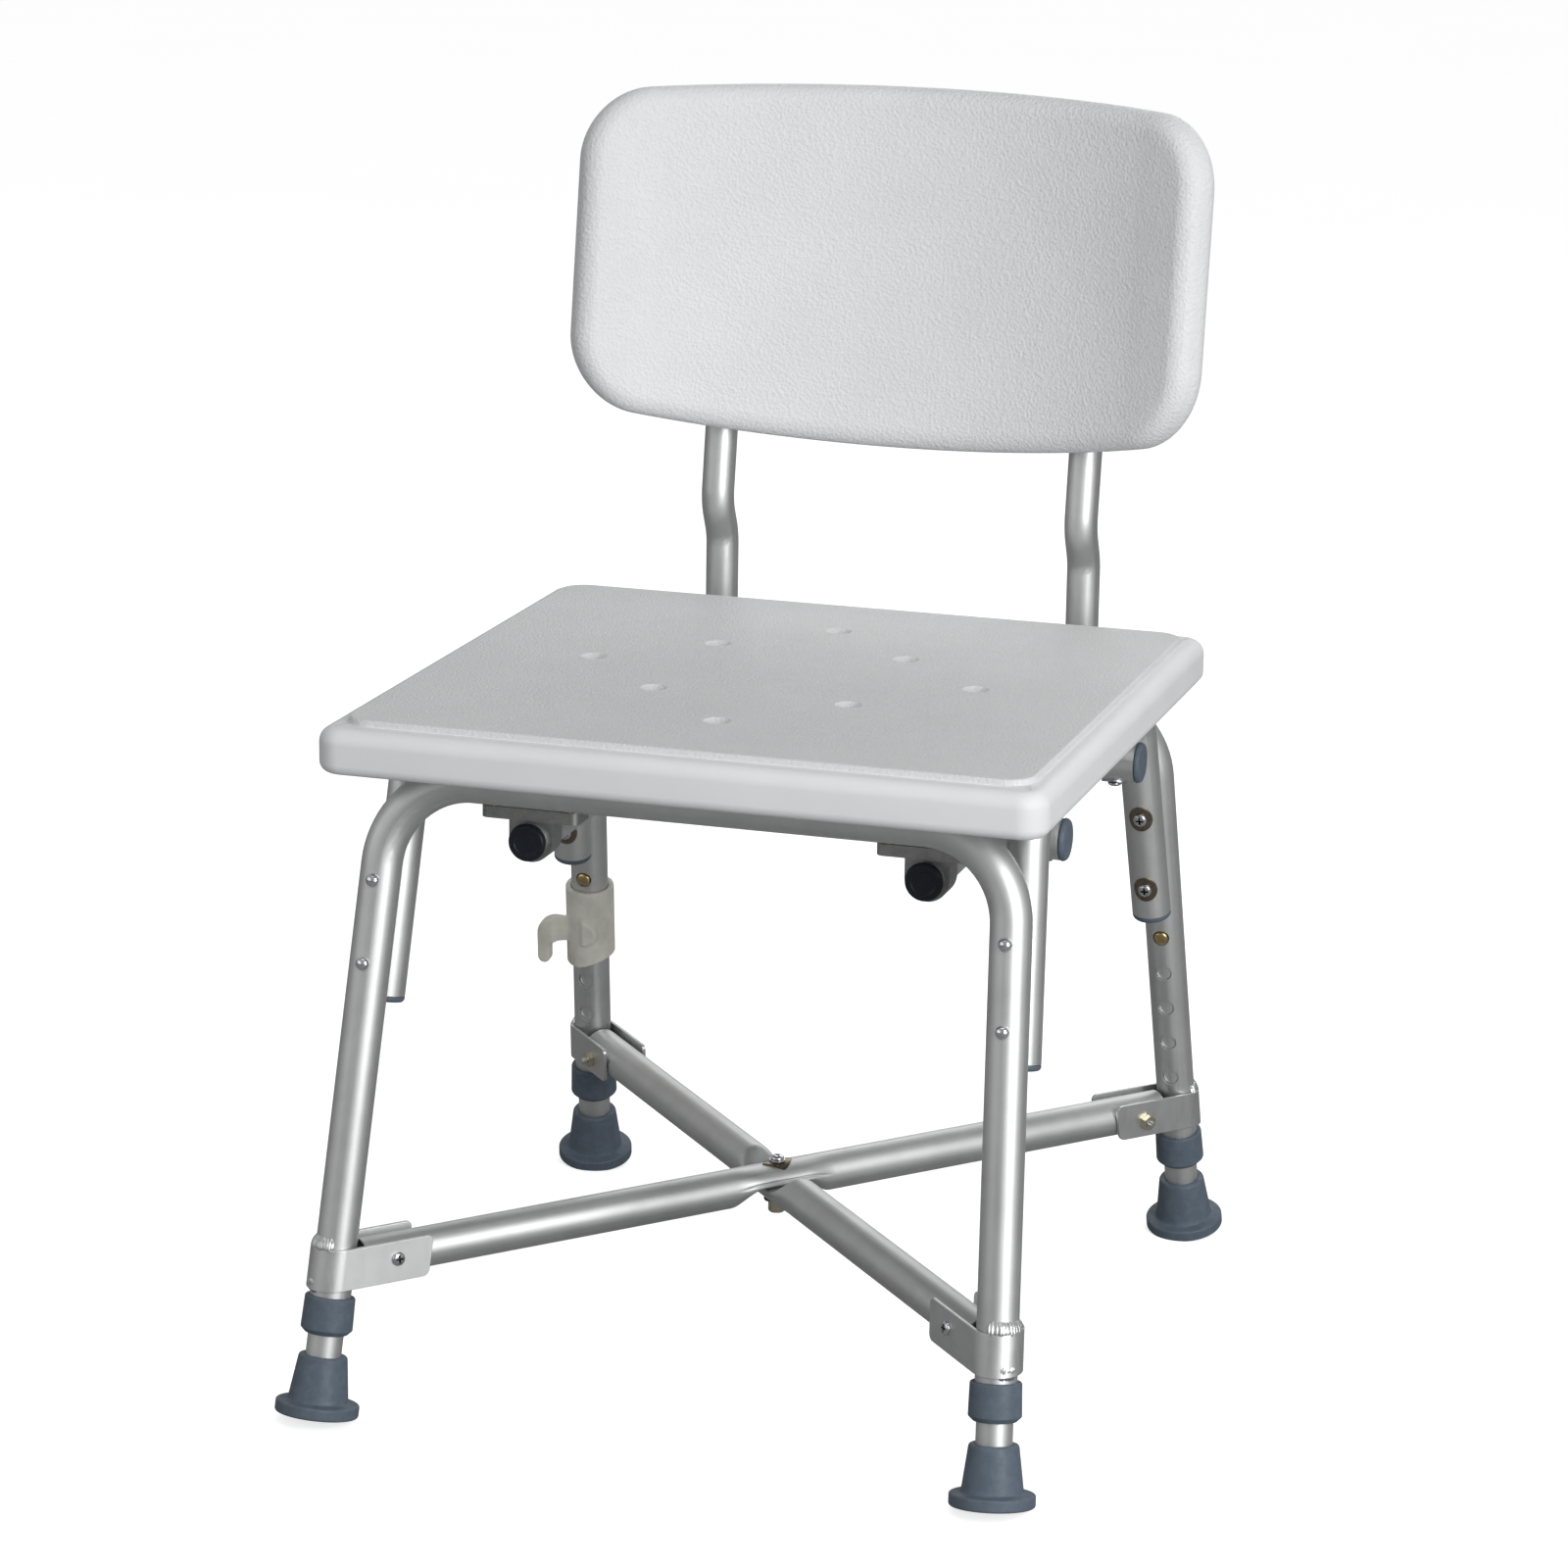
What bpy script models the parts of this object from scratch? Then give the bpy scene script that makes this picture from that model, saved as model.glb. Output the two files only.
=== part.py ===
"""Shower chair with a backrest: splayed tube legs, height extensions and a crossed brace.

Metres, +Z up, +Y towards the backrest, origin on the floor under the middle of the chair.
"""

import math

import bmesh
import bpy
from mathutils import Matrix, Vector

# Fits
GAP = 0.0003
CURVE_SIDES_RESOLUTION = 5
TURNED_STEPS = 16
DRILL_SIDES = 10

# Seat centre, measured from the middle of the whole chair
SEAT_Y = -0.02227

# Seat
SEAT_HALF = (0.2268, 0.2192)
PANEL_HALF = (0.2142, 0.2029)
RIM_TOP = 0.4307
PANEL_TOP = 0.4347
SEAT_BOTTOM = 0.4023
RIM_CORNER = 0.022
PANEL_CORNER = 0.018
RIM_ROUND = 0.009
SKIRT = 0.006
DECK = 0.008
RIB = 0.004
POCKET_LINES_X = (-0.178, -0.030, 0.030, 0.178)
POCKET_LINES_Y = (-0.206, -0.100, -0.035, 0.035, 0.100, 0.206)
DRAIN_REACH = (0.1258, 0.1281)
DRAIN_SHIFT = 0.0048
DRAIN_RADIUS = 0.005
DIMPLE_RADIUS = 0.0085
DIMPLE_DEPTH = 0.003

# Tubes
TUBE = 0.0127
TUBE_BORE = 0.0115
SLIM = 0.0111
SLIM_BORE = 0.0096

# Leg frames: each leg's axis runs from its foot point on the floor to the corner of its U
LEG_FOOT_X = 0.2152
LEG_TOP_X = 0.1959
LEG_TOP_Z = 0.392
FRONT_LEG_Y = (SEAT_Y - 0.2496, SEAT_Y - 0.1645)
REAR_LEG_Y = (SEAT_Y + 0.2670, SEAT_Y + 0.1846)
LEG_BEND = 0.057
LEG_END_Z = 0.0560

# Height adjustment
HOLE_TOP_Z = 0.2269
HOLE_PITCH = 0.0265
HOLE_COUNT = 5
HOLE_RADIUS = 0.0051
BUTTON_RADIUS = 0.0047
EXTENSION_ABOVE_BUTTON = 0.016

# Collars and feet, heights along the leg
COLLAR_RADIUS = 0.0161
COLLAR_HEIGHT = 0.0236
COLLAR_LIP = 0.002
FOOT_SOLE = 0.0046
FOOT_HEIGHT = 0.0415
FOOT_FLOOR = 0.0185

# Side frames
SIDE_OFFSET = 0.032
SIDE_TOP_Z = 0.3983
SIDE_BEND = 0.028
SIDE_END_Z = 0.2575
SIDE_TOP_X = (0.1962, 0.1936)
BOLT_Z = (0.3290, 0.2788)
BOLT_RADIUS = 0.0025
BOLT_HEAD = 0.0043

# Cross tubes under the side frames
CROSS_Y = (SEAT_Y - 0.0977, SEAT_Y + 0.0977)
CROSS_Z = SIDE_TOP_Z - 2 * TUBE - GAP
CROSS_HALF = 0.2087

# Back posts and their brackets
POST_X = 0.1275
POST_Z = 0.3420
POST_FRONT_Y = SEAT_Y - 0.1090
POST_REAR_Y = SEAT_Y + 0.2735
POST_BEND = 0.070
POST_KINK_Z = (0.462, 0.486)
POST_KINK_Y = SEAT_Y + 0.2610
POST_TOP_Z = 0.715
BACK_LEAN = math.radians(8.8)
BRACKET_HALF = (0.0320, 0.0125)
BRACKET_PLATE = 0.0050
BRACKET_SLEEVE = 0.0142
BRACKET_SLEEVE_HALF = 0.0090

# Backrest
BACK_WIDTH = 0.4606
BACK_HEIGHT = 0.2058
BACK_THICK = 0.0284
BACK_CORNER = 0.0453
BACK_ROUND = 0.0125
BACK_CURVE = 0.3324
BACK_MIDDLE = (SEAT_Y + 0.2883, 0.6518)
BACK_BOW_TOP = 0.0159
BACK_BOW_BOTTOM = 0.0195
SOCKET_RADIUS = 0.0145
SOCKET_BOTTOM_Z = 0.556

# Crossed brace
BRACE_Z = 0.096
BRACE_START = 0.0175
CRIMP_HALF = 0.024
CRIMP_BLEND = 0.026
CRIMP_HEIGHT = 0.0121
CRIMP_WIDTH = 0.0140
CLEVIS_INNER = 0.0134
CLEVIS_WALL = 0.0024
CLEVIS_REACH = 0.059
CLEVIS_HEIGHT = 0.026
CLEVIS_BOLT = 0.036

# Hose hook on the rear left leg
HOOK_Z = (0.1600, 0.2178)
HOOK_BORE = 0.0131
HOOK_RADIUS = 0.0168
HOOK_ARM_Z = 0.185
HOOK_BAR_FRONT = (0.0100, 0.0196)
HOOK_ARM_SIDE = (-0.0331, 0.0060)
HOOK_ARM_HEIGHT = (-0.0070, 0.0126)
HOOK_FINGER = 0.0090
HOOK_FINGER_END = -0.0240

CORNERS = {
    "front_left": (-1, FRONT_LEG_Y, 1),
    "front_right": (1, FRONT_LEG_Y, 1),
    "rear_left": (-1, REAR_LEG_Y, -1),
    "rear_right": (1, REAR_LEG_Y, -1),
}


def clear_scene():
    for obj in list(bpy.data.objects):
        bpy.data.objects.remove(obj)


def new_collection(name):
    collection = bpy.data.collections.new(name)
    bpy.context.scene.collection.children.link(collection)
    return collection


clear_scene()
PARTS = new_collection("shower_chair")
CUTTERS = new_collection("cutters")
CUTTERS.hide_render = True


def paint(name, colour, roughness, metallic=0.0):
    material = bpy.data.materials.new(name)
    material.use_nodes = True
    shader = material.node_tree.nodes["Principled BSDF"]
    shader.inputs["Base Color"].default_value = (*colour, 1.0)
    shader.inputs["Roughness"].default_value = roughness
    shader.inputs["Metallic"].default_value = metallic
    return material


FINISHES = {
    "white_plastic": ((0.80, 0.81, 0.82), 0.45, 0.0),
    "aluminium": ((0.72, 0.73, 0.75), 0.35, 1.0),
    "cast_grey": ((0.45, 0.45, 0.44), 0.45, 1.0),
    "grey_rubber": ((0.10, 0.12, 0.15), 0.60, 0.0),
    "black_plastic": ((0.02, 0.03, 0.04), 0.50, 0.0),
    "zinc": ((0.70, 0.71, 0.72), 0.30, 1.0),
    "brass": ((0.62, 0.45, 0.17), 0.30, 1.0),
    "milky_plastic": ((0.66, 0.65, 0.60), 0.50, 0.0),
}


def add_part(name, mesh, finish, matrix=None):
    obj = bpy.data.objects.new(name, mesh)
    PARTS.objects.link(obj)
    obj.matrix_world = matrix or Matrix()
    mesh.materials.clear()
    mesh.materials.append(paint(name, *FINISHES[finish]))
    mesh.shade_smooth()
    mesh.set_sharp_from_angle(angle=math.radians(40))
    return obj


def add_cutter(name, mesh, matrix=None):
    obj = bpy.data.objects.new(name, mesh)
    CUTTERS.objects.link(obj)
    obj.matrix_world = matrix or Matrix()
    obj.hide_render = True
    obj.display_type = "WIRE"
    return obj


def combine(obj, other, operation):
    modifier = obj.modifiers.new(other.name, "BOOLEAN")
    modifier.operation = operation
    modifier.object = other


def along(start, end):
    """Matrix at start whose Z axis points at end."""
    direction = Vector(end) - Vector(start)
    return Matrix.Translation(start) @ direction.to_track_quat("Z", "Y").to_matrix().to_4x4()


def mesh_from(bm, name):
    bmesh.ops.recalc_face_normals(bm, faces=bm.faces)
    mesh = bpy.data.meshes.new(name)
    bm.to_mesh(mesh)
    bm.free()
    return mesh


def turned_mesh(name, profile, steps=TURNED_STEPS, ring=False):
    """Turn a profile of (radius, height) points about Z. A ring's profile is closed."""
    bm = bmesh.new()
    points = [bm.verts.new((radius, 0.0, height)) for radius, height in profile]
    pairs = list(zip(points, points[1:]))
    if ring:
        pairs.append((points[-1], points[0]))
    edges = [bm.edges.new(pair) for pair in pairs]
    bmesh.ops.spin(
        bm, geom=points + edges, cent=(0, 0, 0), axis=(0, 0, 1), angle=2 * math.pi, steps=steps
    )
    bmesh.ops.remove_doubles(bm, verts=bm.verts, dist=1e-6)
    return mesh_from(bm, name)


def block_mesh(name, low, high, corner=0.0, edge=0.0, corner_steps=5, edge_steps=2):
    """Box from low to high, with round vertical corners and round top and bottom edges."""
    bm = bmesh.new()
    low, high = Vector(low), Vector(high)
    size = high - low
    middle = (low + high) / 2
    bmesh.ops.create_cube(bm, size=1, matrix=Matrix.Translation(middle) @ Matrix.Diagonal((*size, 1)))
    if corner:
        upright = [e for e in bm.edges if abs(e.verts[0].co.z - e.verts[1].co.z) > size.z / 2]
        bmesh.ops.bevel(bm, geom=upright, offset=corner, segments=corner_steps, affect="EDGES", profile=0.5)
    if edge:
        level = [
            e
            for e in bm.edges
            if abs(e.verts[0].co.z - e.verts[1].co.z) < 1e-6
            and len(e.link_faces) == 2
            and e.calc_face_angle(0) > 1.0
        ]
        bmesh.ops.bevel(bm, geom=level, offset=edge, segments=edge_steps, affect="EDGES", profile=0.5)
    return mesh_from(bm, name)


def drills_mesh(name, holes, sides=DRILL_SIDES):
    """Several drills in one cutter: each hole is (start, end, radius)."""
    bm = bmesh.new()
    for start, end, radius in holes:
        length = (Vector(end) - Vector(start)).length
        middle = along(start, end) @ Matrix.Translation((0, 0, length / 2))
        bmesh.ops.create_cone(
            bm,
            cap_ends=True,
            segments=sides,
            radius1=radius,
            radius2=radius,
            depth=length,
            matrix=middle,
        )
    return mesh_from(bm, name)


def rounded_path(points, radius, steps=6):
    """The corner points of a path, with each corner replaced by an arc."""
    points = [Vector(point) for point in points]
    path = [points[0]]
    for before, corner, after in zip(points, points[1:], points[2:]):
        into = (before - corner).normalized()
        out = (after - corner).normalized()
        half = into.angle(out) / 2
        reach = radius / math.tan(half)
        centre = corner + (into + out).normalized() * radius / math.sin(half)
        first = corner + into * reach - centre
        turn = math.pi - 2 * half
        axis = into.cross(out).normalized()
        for step in range(steps + 1):
            path.append(centre + Matrix.Rotation(-turn * step / steps, 3, axis) @ first)
    path.append(points[-1])
    return path


def tube_mesh(name, path, radius):
    """Solid round bar along a path, as a mesh with welded caps."""
    curve = bpy.data.curves.new(name, "CURVE")
    curve.dimensions = "3D"
    curve.bevel_depth = radius
    curve.bevel_resolution = CURVE_SIDES_RESOLUTION
    curve.use_fill_caps = True
    spline = curve.splines.new("POLY")
    spline.points.add(len(path) - 1)
    for point, place in zip(spline.points, path):
        point.co = (*place, 1.0)
    guide = bpy.data.objects.new(name + "_guide", curve)
    CUTTERS.objects.link(guide)
    graph = bpy.context.evaluated_depsgraph_get()
    mesh = bpy.data.meshes.new_from_object(guide.evaluated_get(graph))
    bpy.data.objects.remove(guide)
    bm = bmesh.new()
    bm.from_mesh(mesh)
    bmesh.ops.remove_doubles(bm, verts=bm.verts, dist=1e-6)
    bpy.data.meshes.remove(mesh)
    return mesh_from(bm, name)


def longer(path, extra):
    """The same path, with both ends carried on by extra."""
    start = path[0] + (path[0] - path[1]).normalized() * extra
    end = path[-1] + (path[-1] - path[-2]).normalized() * extra
    return [start] + list(path[1:-1]) + [end]


def add_hollow_tube(name, path, radius, bore, finish="aluminium"):
    obj = add_part(name, tube_mesh(name, path, radius), finish)
    core = add_cutter(name + "_bore", tube_mesh(name + "_bore", longer(path, 0.01), bore))
    combine(obj, core, "DIFFERENCE")
    return obj


# Leg geometry


def leg_point(corner, z):
    side, leg_y, _ = CORNERS[corner]
    share = z / LEG_TOP_Z
    x = side * (LEG_FOOT_X + (LEG_TOP_X - LEG_FOOT_X) * share)
    return Vector((x, leg_y[0] + (leg_y[1] - leg_y[0]) * share, z))


def leg_up(corner):
    return (leg_point(corner, LEG_TOP_Z) - leg_point(corner, 0)).normalized()


def leg_inward(corner):
    """Unit vector at right angles to the leg, towards the middle of the chair along Y."""
    up = leg_up(corner)
    inward = Vector((0, CORNERS[corner][2], 0))
    return (inward - up * inward.dot(up)).normalized()


def leg_matrix(corner, z, climb=0.0):
    """Frame on the leg's axis, climb above height z: Z up the leg, X towards the chair's middle."""
    up = leg_up(corner)
    inward = leg_inward(corner)
    across = up.cross(inward)
    rotation = Matrix((inward, across, up)).transposed().to_4x4()
    return Matrix.Translation(leg_point(corner, z) + up * climb) @ rotation


def hole_places(corner):
    """The locking holes' centres on the leg's axis, from the top one down."""
    top = leg_point(corner, HOLE_TOP_Z)
    return [top - leg_up(corner) * HOLE_PITCH * i for i in range(HOLE_COUNT)]


def bolt_places(corner):
    return [leg_point(corner, z) for z in BOLT_Z]


def add_leg_frame(name, left, right):
    ends = [leg_point(left, LEG_END_Z), leg_point(right, LEG_END_Z)]
    tops = [leg_point(left, LEG_TOP_Z), leg_point(right, LEG_TOP_Z)]
    path = rounded_path([ends[0], tops[0], tops[1], ends[1]], LEG_BEND, 5)
    frame = add_hollow_tube(name, path, TUBE, TUBE_BORE)
    holes = []
    for corner in (left, right):
        inward = leg_inward(corner)
        for place in hole_places(corner):
            holes.append((place + inward * 0.005, place + inward * 0.02, HOLE_RADIUS))
        for place in bolt_places(corner):
            holes.append((place - inward * 0.02, place + inward * 0.02, BOLT_RADIUS + GAP))
    combine(frame, add_cutter(name + "_drills", drills_mesh(name + "_drills", holes)), "DIFFERENCE")


def side_path(front, rear):
    """The side frame's path: up beside the front leg, back under the seat and down again."""
    side = CORNERS[front][0]
    ends = []
    tops = []
    for corner, top_x in zip((front, rear), SIDE_TOP_X):
        shift = leg_inward(corner) * SIDE_OFFSET
        end = leg_point(corner, SIDE_END_Z) + shift
        up = leg_up(corner)
        top = end + up * (SIDE_TOP_Z - end.z) / up.z
        ends.append(end)
        tops.append(Vector((side * top_x, top.y, SIDE_TOP_Z)))
    return rounded_path([ends[0], tops[0], tops[1], ends[1]], SIDE_BEND, 4)


def add_side_frame(name, front, rear):
    path = side_path(front, rear)
    frame = add_hollow_tube(name, path, TUBE, TUBE_BORE)
    holes = []
    for corner in (front, rear):
        inward = leg_inward(corner)
        for place in bolt_places(corner):
            holes.append((place + inward * 0.01, place + inward * 0.06, BOLT_RADIUS + GAP))
    combine(frame, add_cutter(name + "_drills", drills_mesh(name + "_drills", holes)), "DIFFERENCE")
    for corner, end, inside in ((front, path[0], path[1]), (rear, path[-1], path[-2])):
        plug = plug_mesh(f"side_plug_{corner}", TUBE, TUBE_BORE)
        add_part(f"side_plug_{corner}", plug, "grey_rubber", along(end, inside))


def plug_mesh(name, radius, bore, cap=0.004):
    """End plug: a domed cap below the tube's end and a stem inside it."""
    profile = [
        (0, -cap),
        (radius * 0.84, -cap),
        (radius, -cap * 0.4),
        (radius, -GAP),
        (bore - GAP, -GAP),
        (bore - GAP, 0.012),
        (0, 0.012),
    ]
    return turned_mesh(name, profile, 14)


def add_frame_bolt(name, corner, z):
    """Through bolt: dome head on the leg's outer face, screw head on the side frame's inner face."""
    inward = leg_inward(corner)
    axis = leg_point(corner, z)
    start = axis - inward * TUBE
    length = SIDE_OFFSET + 2 * TUBE
    head = BOLT_HEAD
    profile = [
        (0, -0.0034),
        (head * 0.7, -0.0026),
        (head, -GAP),
        (BOLT_RADIUS, -GAP),
        (BOLT_RADIUS, length + GAP),
        (head, length + GAP),
        (head * 0.8, length + 0.0024),
        (0, length + 0.0030),
    ]
    add_part(name, turned_mesh(name, profile, 10), "zinc", along(start, start + inward))


# Height extensions


def add_extension(corner):
    """Inner leg tube with its button hole, the collar round it and the foot under it."""
    inward = leg_inward(corner)
    bottom = leg_point(corner, 0) + leg_up(corner) * FOOT_FLOOR
    length = (leg_point(corner, HOLE_TOP_Z) - bottom).length + EXTENSION_ABOVE_BUTTON
    name = f"leg_extension_{corner}"
    profile = [(SLIM, 0), (SLIM, length), (SLIM_BORE, length), (SLIM_BORE, 0)]
    tube = turned_mesh(name, profile, 16, ring=True)
    obj = add_part(name, tube, "aluminium", leg_matrix(corner, 0, FOOT_FLOOR))
    place = leg_point(corner, HOLE_TOP_Z)
    hole = [(place + inward * 0.004, place + inward * 0.02, BUTTON_RADIUS + GAP)]
    combine(obj, add_cutter(name + "_drill", drills_mesh(name + "_drill", hole)), "DIFFERENCE")


def add_button(corner):
    """Snap button: a pin through the extension's wall with a wider foot behind it."""
    inward = leg_inward(corner)
    place = leg_point(corner, HOLE_TOP_Z)
    name = f"height_button_{corner}"
    flange = BUTTON_RADIUS + 0.0016
    shoulder = BUTTON_RADIUS * 0.55
    seat = math.sqrt(SLIM_BORE**2 - flange**2) - GAP
    profile = [
        (0, seat - 0.0012),
        (flange, seat - 0.0012),
        (flange, seat),
        (BUTTON_RADIUS, seat),
        (BUTTON_RADIUS, math.sqrt(SLIM**2 - BUTTON_RADIUS**2) - 0.0001),
        (shoulder, math.sqrt(SLIM**2 - shoulder**2) - 0.0001),
        (0, SLIM - 0.0001),
    ]
    add_part(name, turned_mesh(name, profile, 12), "brass", along(place, place + inward))


def add_collar(corner):
    name = f"leg_collar_{corner}"
    outer = TUBE + GAP
    inner = SLIM + GAP
    profile = [
        (inner, 0),
        (COLLAR_RADIUS - 0.0030, 0),
        (COLLAR_RADIUS, 0.0030),
        (COLLAR_RADIUS - 0.0005, COLLAR_HEIGHT - 0.0006),
        (COLLAR_RADIUS - 0.0011, COLLAR_HEIGHT),
        (outer, COLLAR_HEIGHT),
        (outer, COLLAR_LIP),
        (inner, COLLAR_LIP),
    ]
    matrix = leg_matrix(corner, LEG_END_Z, -COLLAR_LIP - GAP)
    add_part(name, turned_mesh(name, profile, ring=True), "grey_rubber", matrix)


def add_foot(corner):
    """Rubber foot on the leg's axis, with a level patch where the sole meets the floor."""
    name = f"foot_{corner}"
    bore = SLIM + GAP
    profile = [
        (0, FOOT_SOLE),
        (0.0255, FOOT_SOLE),
        (0.0259, FOOT_SOLE + 0.0008),
        (0.0259, FOOT_SOLE + 0.0070),
        (0.0245, FOOT_SOLE + 0.0082),
        (0.0185, FOOT_SOLE + 0.0096),
        (0.0150, FOOT_HEIGHT - 0.0010),
        (0.0144, FOOT_HEIGHT),
        (bore, FOOT_HEIGHT),
        (bore, FOOT_FLOOR - GAP),
        (0, FOOT_FLOOR - GAP),
    ]
    obj = add_part(name, turned_mesh(name, profile, 18), "grey_rubber", leg_matrix(corner, 0))
    ground = leg_point(corner, 0)
    low = ground - Vector((0.05, 0.05, 0.03))
    high = ground + Vector((0.05, 0.05, 0.0))
    combine(obj, add_cutter(name + "_floor", block_mesh(name + "_floor", low, high)), "DIFFERENCE")


# Seat


def drain_places():
    reach_x, reach_y = DRAIN_REACH
    places = []
    for turn in range(8):
        angle = turn * math.pi / 4
        u, v = math.cos(angle), math.sin(angle)
        scale = abs(u) + abs(v)
        u, v = u / scale, v / scale
        places.append((u * reach_x, SEAT_Y + v * reach_y + abs(u) * DRAIN_SHIFT))
    return places


def drains_mesh():
    """Eight drain holes with dished mouths, in one cutter."""
    profile = [
        (0, SEAT_BOTTOM),
        (DRAIN_RADIUS, SEAT_BOTTOM),
        (DRAIN_RADIUS, PANEL_TOP - DIMPLE_DEPTH),
        (DIMPLE_RADIUS, PANEL_TOP),
        (DIMPLE_RADIUS, PANEL_TOP + 0.002),
        (0, PANEL_TOP + 0.002),
    ]
    bm = bmesh.new()
    for x, y in drain_places():
        one = turned_mesh("drain", profile, DRILL_SIDES)
        one.transform(Matrix.Translation((x, y, 0)))
        bm.from_mesh(one)
        bpy.data.meshes.remove(one)
    return mesh_from(bm, "drains")


def pockets_mesh():
    """The ribbed underside: one recess for the frame, and deeper pockets between the ribs."""
    bm = bmesh.new()
    roof = PANEL_TOP - DECK
    for left, right in zip(POCKET_LINES_X, POCKET_LINES_X[1:]):
        for front, rear in zip(POCKET_LINES_Y, POCKET_LINES_Y[1:]):
            low = (left + RIB / 2, SEAT_Y + front + RIB / 2, SIDE_TOP_Z)
            high = (right - RIB / 2, SEAT_Y + rear - RIB / 2, roof)
            one = block_mesh("pocket", low, high)
            bm.from_mesh(one)
            bpy.data.meshes.remove(one)
    return mesh_from(bm, "pockets")


def add_seat():
    half_x, half_y = SEAT_HALF
    low = (-half_x, SEAT_Y - half_y, SEAT_BOTTOM)
    high = (half_x, SEAT_Y + half_y, RIM_TOP)
    seat = add_part("seat", block_mesh("seat", low, high, RIM_CORNER, RIM_ROUND, 5, 3), "white_plastic")
    half_x, half_y = PANEL_HALF
    low = (-half_x, SEAT_Y - half_y, RIM_TOP - 0.008)
    high = (half_x, SEAT_Y + half_y, PANEL_TOP)
    panel = block_mesh("seat_panel", low, high, PANEL_CORNER, 0.002, 5, 1)
    combine(seat, add_cutter("seat_panel", panel), "UNION")
    half_x, half_y = SEAT_HALF
    low = (SKIRT - half_x, SEAT_Y - half_y + SKIRT, SEAT_BOTTOM - 0.01)
    high = (half_x - SKIRT, SEAT_Y + half_y - SKIRT, SIDE_TOP_Z + TUBE + GAP)
    recess = block_mesh("seat_recess", low, high, RIM_CORNER - SKIRT, 0, 6)
    combine(seat, add_cutter("seat_recess", recess), "DIFFERENCE")
    combine(seat, add_cutter("seat_pockets", pockets_mesh()), "DIFFERENCE")
    combine(seat, add_cutter("seat_drains", drains_mesh()), "DIFFERENCE")


# Back


def post_axis(z):
    """A point of the leaning upper stretch of a back post, at height z."""
    return Vector((POST_X, POST_KINK_Y + (z - POST_KINK_Z[1]) * math.tan(BACK_LEAN), z))


def post_path(side):
    corners = [
        Vector((POST_X, POST_FRONT_Y, POST_Z)),
        Vector((POST_X, POST_REAR_Y, POST_Z)),
        Vector((POST_X, POST_REAR_Y, POST_KINK_Z[0])),
        post_axis(POST_KINK_Z[1]),
        post_axis(POST_TOP_Z),
    ]
    elbow = rounded_path(corners[:3], POST_BEND, 5)
    kinks = rounded_path(corners[1:], 0.03, 2)
    path = elbow[:-1] + kinks[1:]
    return [Vector((side * point.x, point.y, point.z)) for point in path]


def add_post(name, side):
    path = post_path(side)
    add_hollow_tube(name, path, SLIM, SLIM_BORE)
    plug = plug_mesh(name + "_plug", SLIM + 0.0010, SLIM_BORE, 0.0065)
    add_part(name + "_plug", plug, "black_plastic", along(path[0], path[1]))


def add_bracket(name, side, y):
    """Saddle plate under a cross tube with a sleeve that holds a back post."""
    x = side * POST_X
    half_x, half_y = BRACKET_HALF
    top = CROSS_Z - TUBE * 0.80
    low = (x - half_x, y - half_y, CROSS_Z - TUBE - BRACKET_PLATE)
    body = add_part(name, block_mesh(name, low, (x + half_x, y + half_y, top), 0.004, 0, 2), "cast_grey")
    reach = Vector((0, BRACKET_SLEEVE_HALF, 0))
    centre = Vector((x, y, POST_Z))
    sleeve = drills_mesh(name + "_sleeve", [(centre - reach, centre + reach, BRACKET_SLEEVE)], 20)
    combine(body, add_cutter(name + "_sleeve", sleeve), "UNION")
    saddle = [(Vector((x - 0.05, y, CROSS_Z)), Vector((x + 0.05, y, CROSS_Z)), TUBE + GAP)]
    combine(body, add_cutter(name + "_saddle", drills_mesh(name + "_saddle", saddle, 32)), "DIFFERENCE")
    bore = [(centre - reach * 2, centre + reach * 2, SLIM + 0.0004)]
    combine(body, add_cutter(name + "_bore", drills_mesh(name + "_bore", bore, 20)), "DIFFERENCE")


def bent_panel_mesh():
    """Panel of the backrest in its own frame: X across, Y back, Z up, bent about a vertical axis."""
    bm = bmesh.new()
    half = Vector((BACK_WIDTH / 2, BACK_THICK / 2, BACK_HEIGHT / 2))
    bmesh.ops.create_cube(bm, size=2, matrix=Matrix.Diagonal((*half, 1)))
    corners = [e for e in bm.edges if abs(e.verts[0].co.y - e.verts[1].co.y) > half.y]
    bmesh.ops.bevel(bm, geom=corners, offset=BACK_CORNER, segments=5, affect="EDGES", profile=0.5)
    rims = [e for e in bm.edges if e.calc_face_angle(0) > 1.0]
    bmesh.ops.bevel(bm, geom=rims, offset=BACK_ROUND, segments=3, affect="EDGES", profile=0.5)
    flat = half.x - BACK_CORNER - 0.001
    for step in range(9):
        x = -flat + 2 * flat * step / 8
        everything = list(bm.verts) + list(bm.edges) + list(bm.faces)
        bmesh.ops.bisect_plane(bm, geom=everything, plane_co=(x, 0, 0), plane_no=(1, 0, 0))
    for vert in bm.verts:
        vert.co = bent(vert.co, half)
    bmesh.ops.triangulate(bm, faces=[f for f in bm.faces if len(f.verts) > 4])
    return mesh_from(bm, "backrest")


def bent(co, half):
    """Where a point of the flat panel goes: bowed edges, then bent to a cylinder."""
    rise = co.z / half.z
    bow = 1 - (co.x / half.x) ** 2
    z = co.z + (BACK_BOW_TOP * max(rise, 0) + BACK_BOW_BOTTOM * min(rise, 0)) * bow
    angle = co.x / BACK_CURVE
    radius = BACK_CURVE + co.y
    return Vector((radius * math.sin(angle), radius * math.cos(angle) - BACK_CURVE, z))


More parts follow.
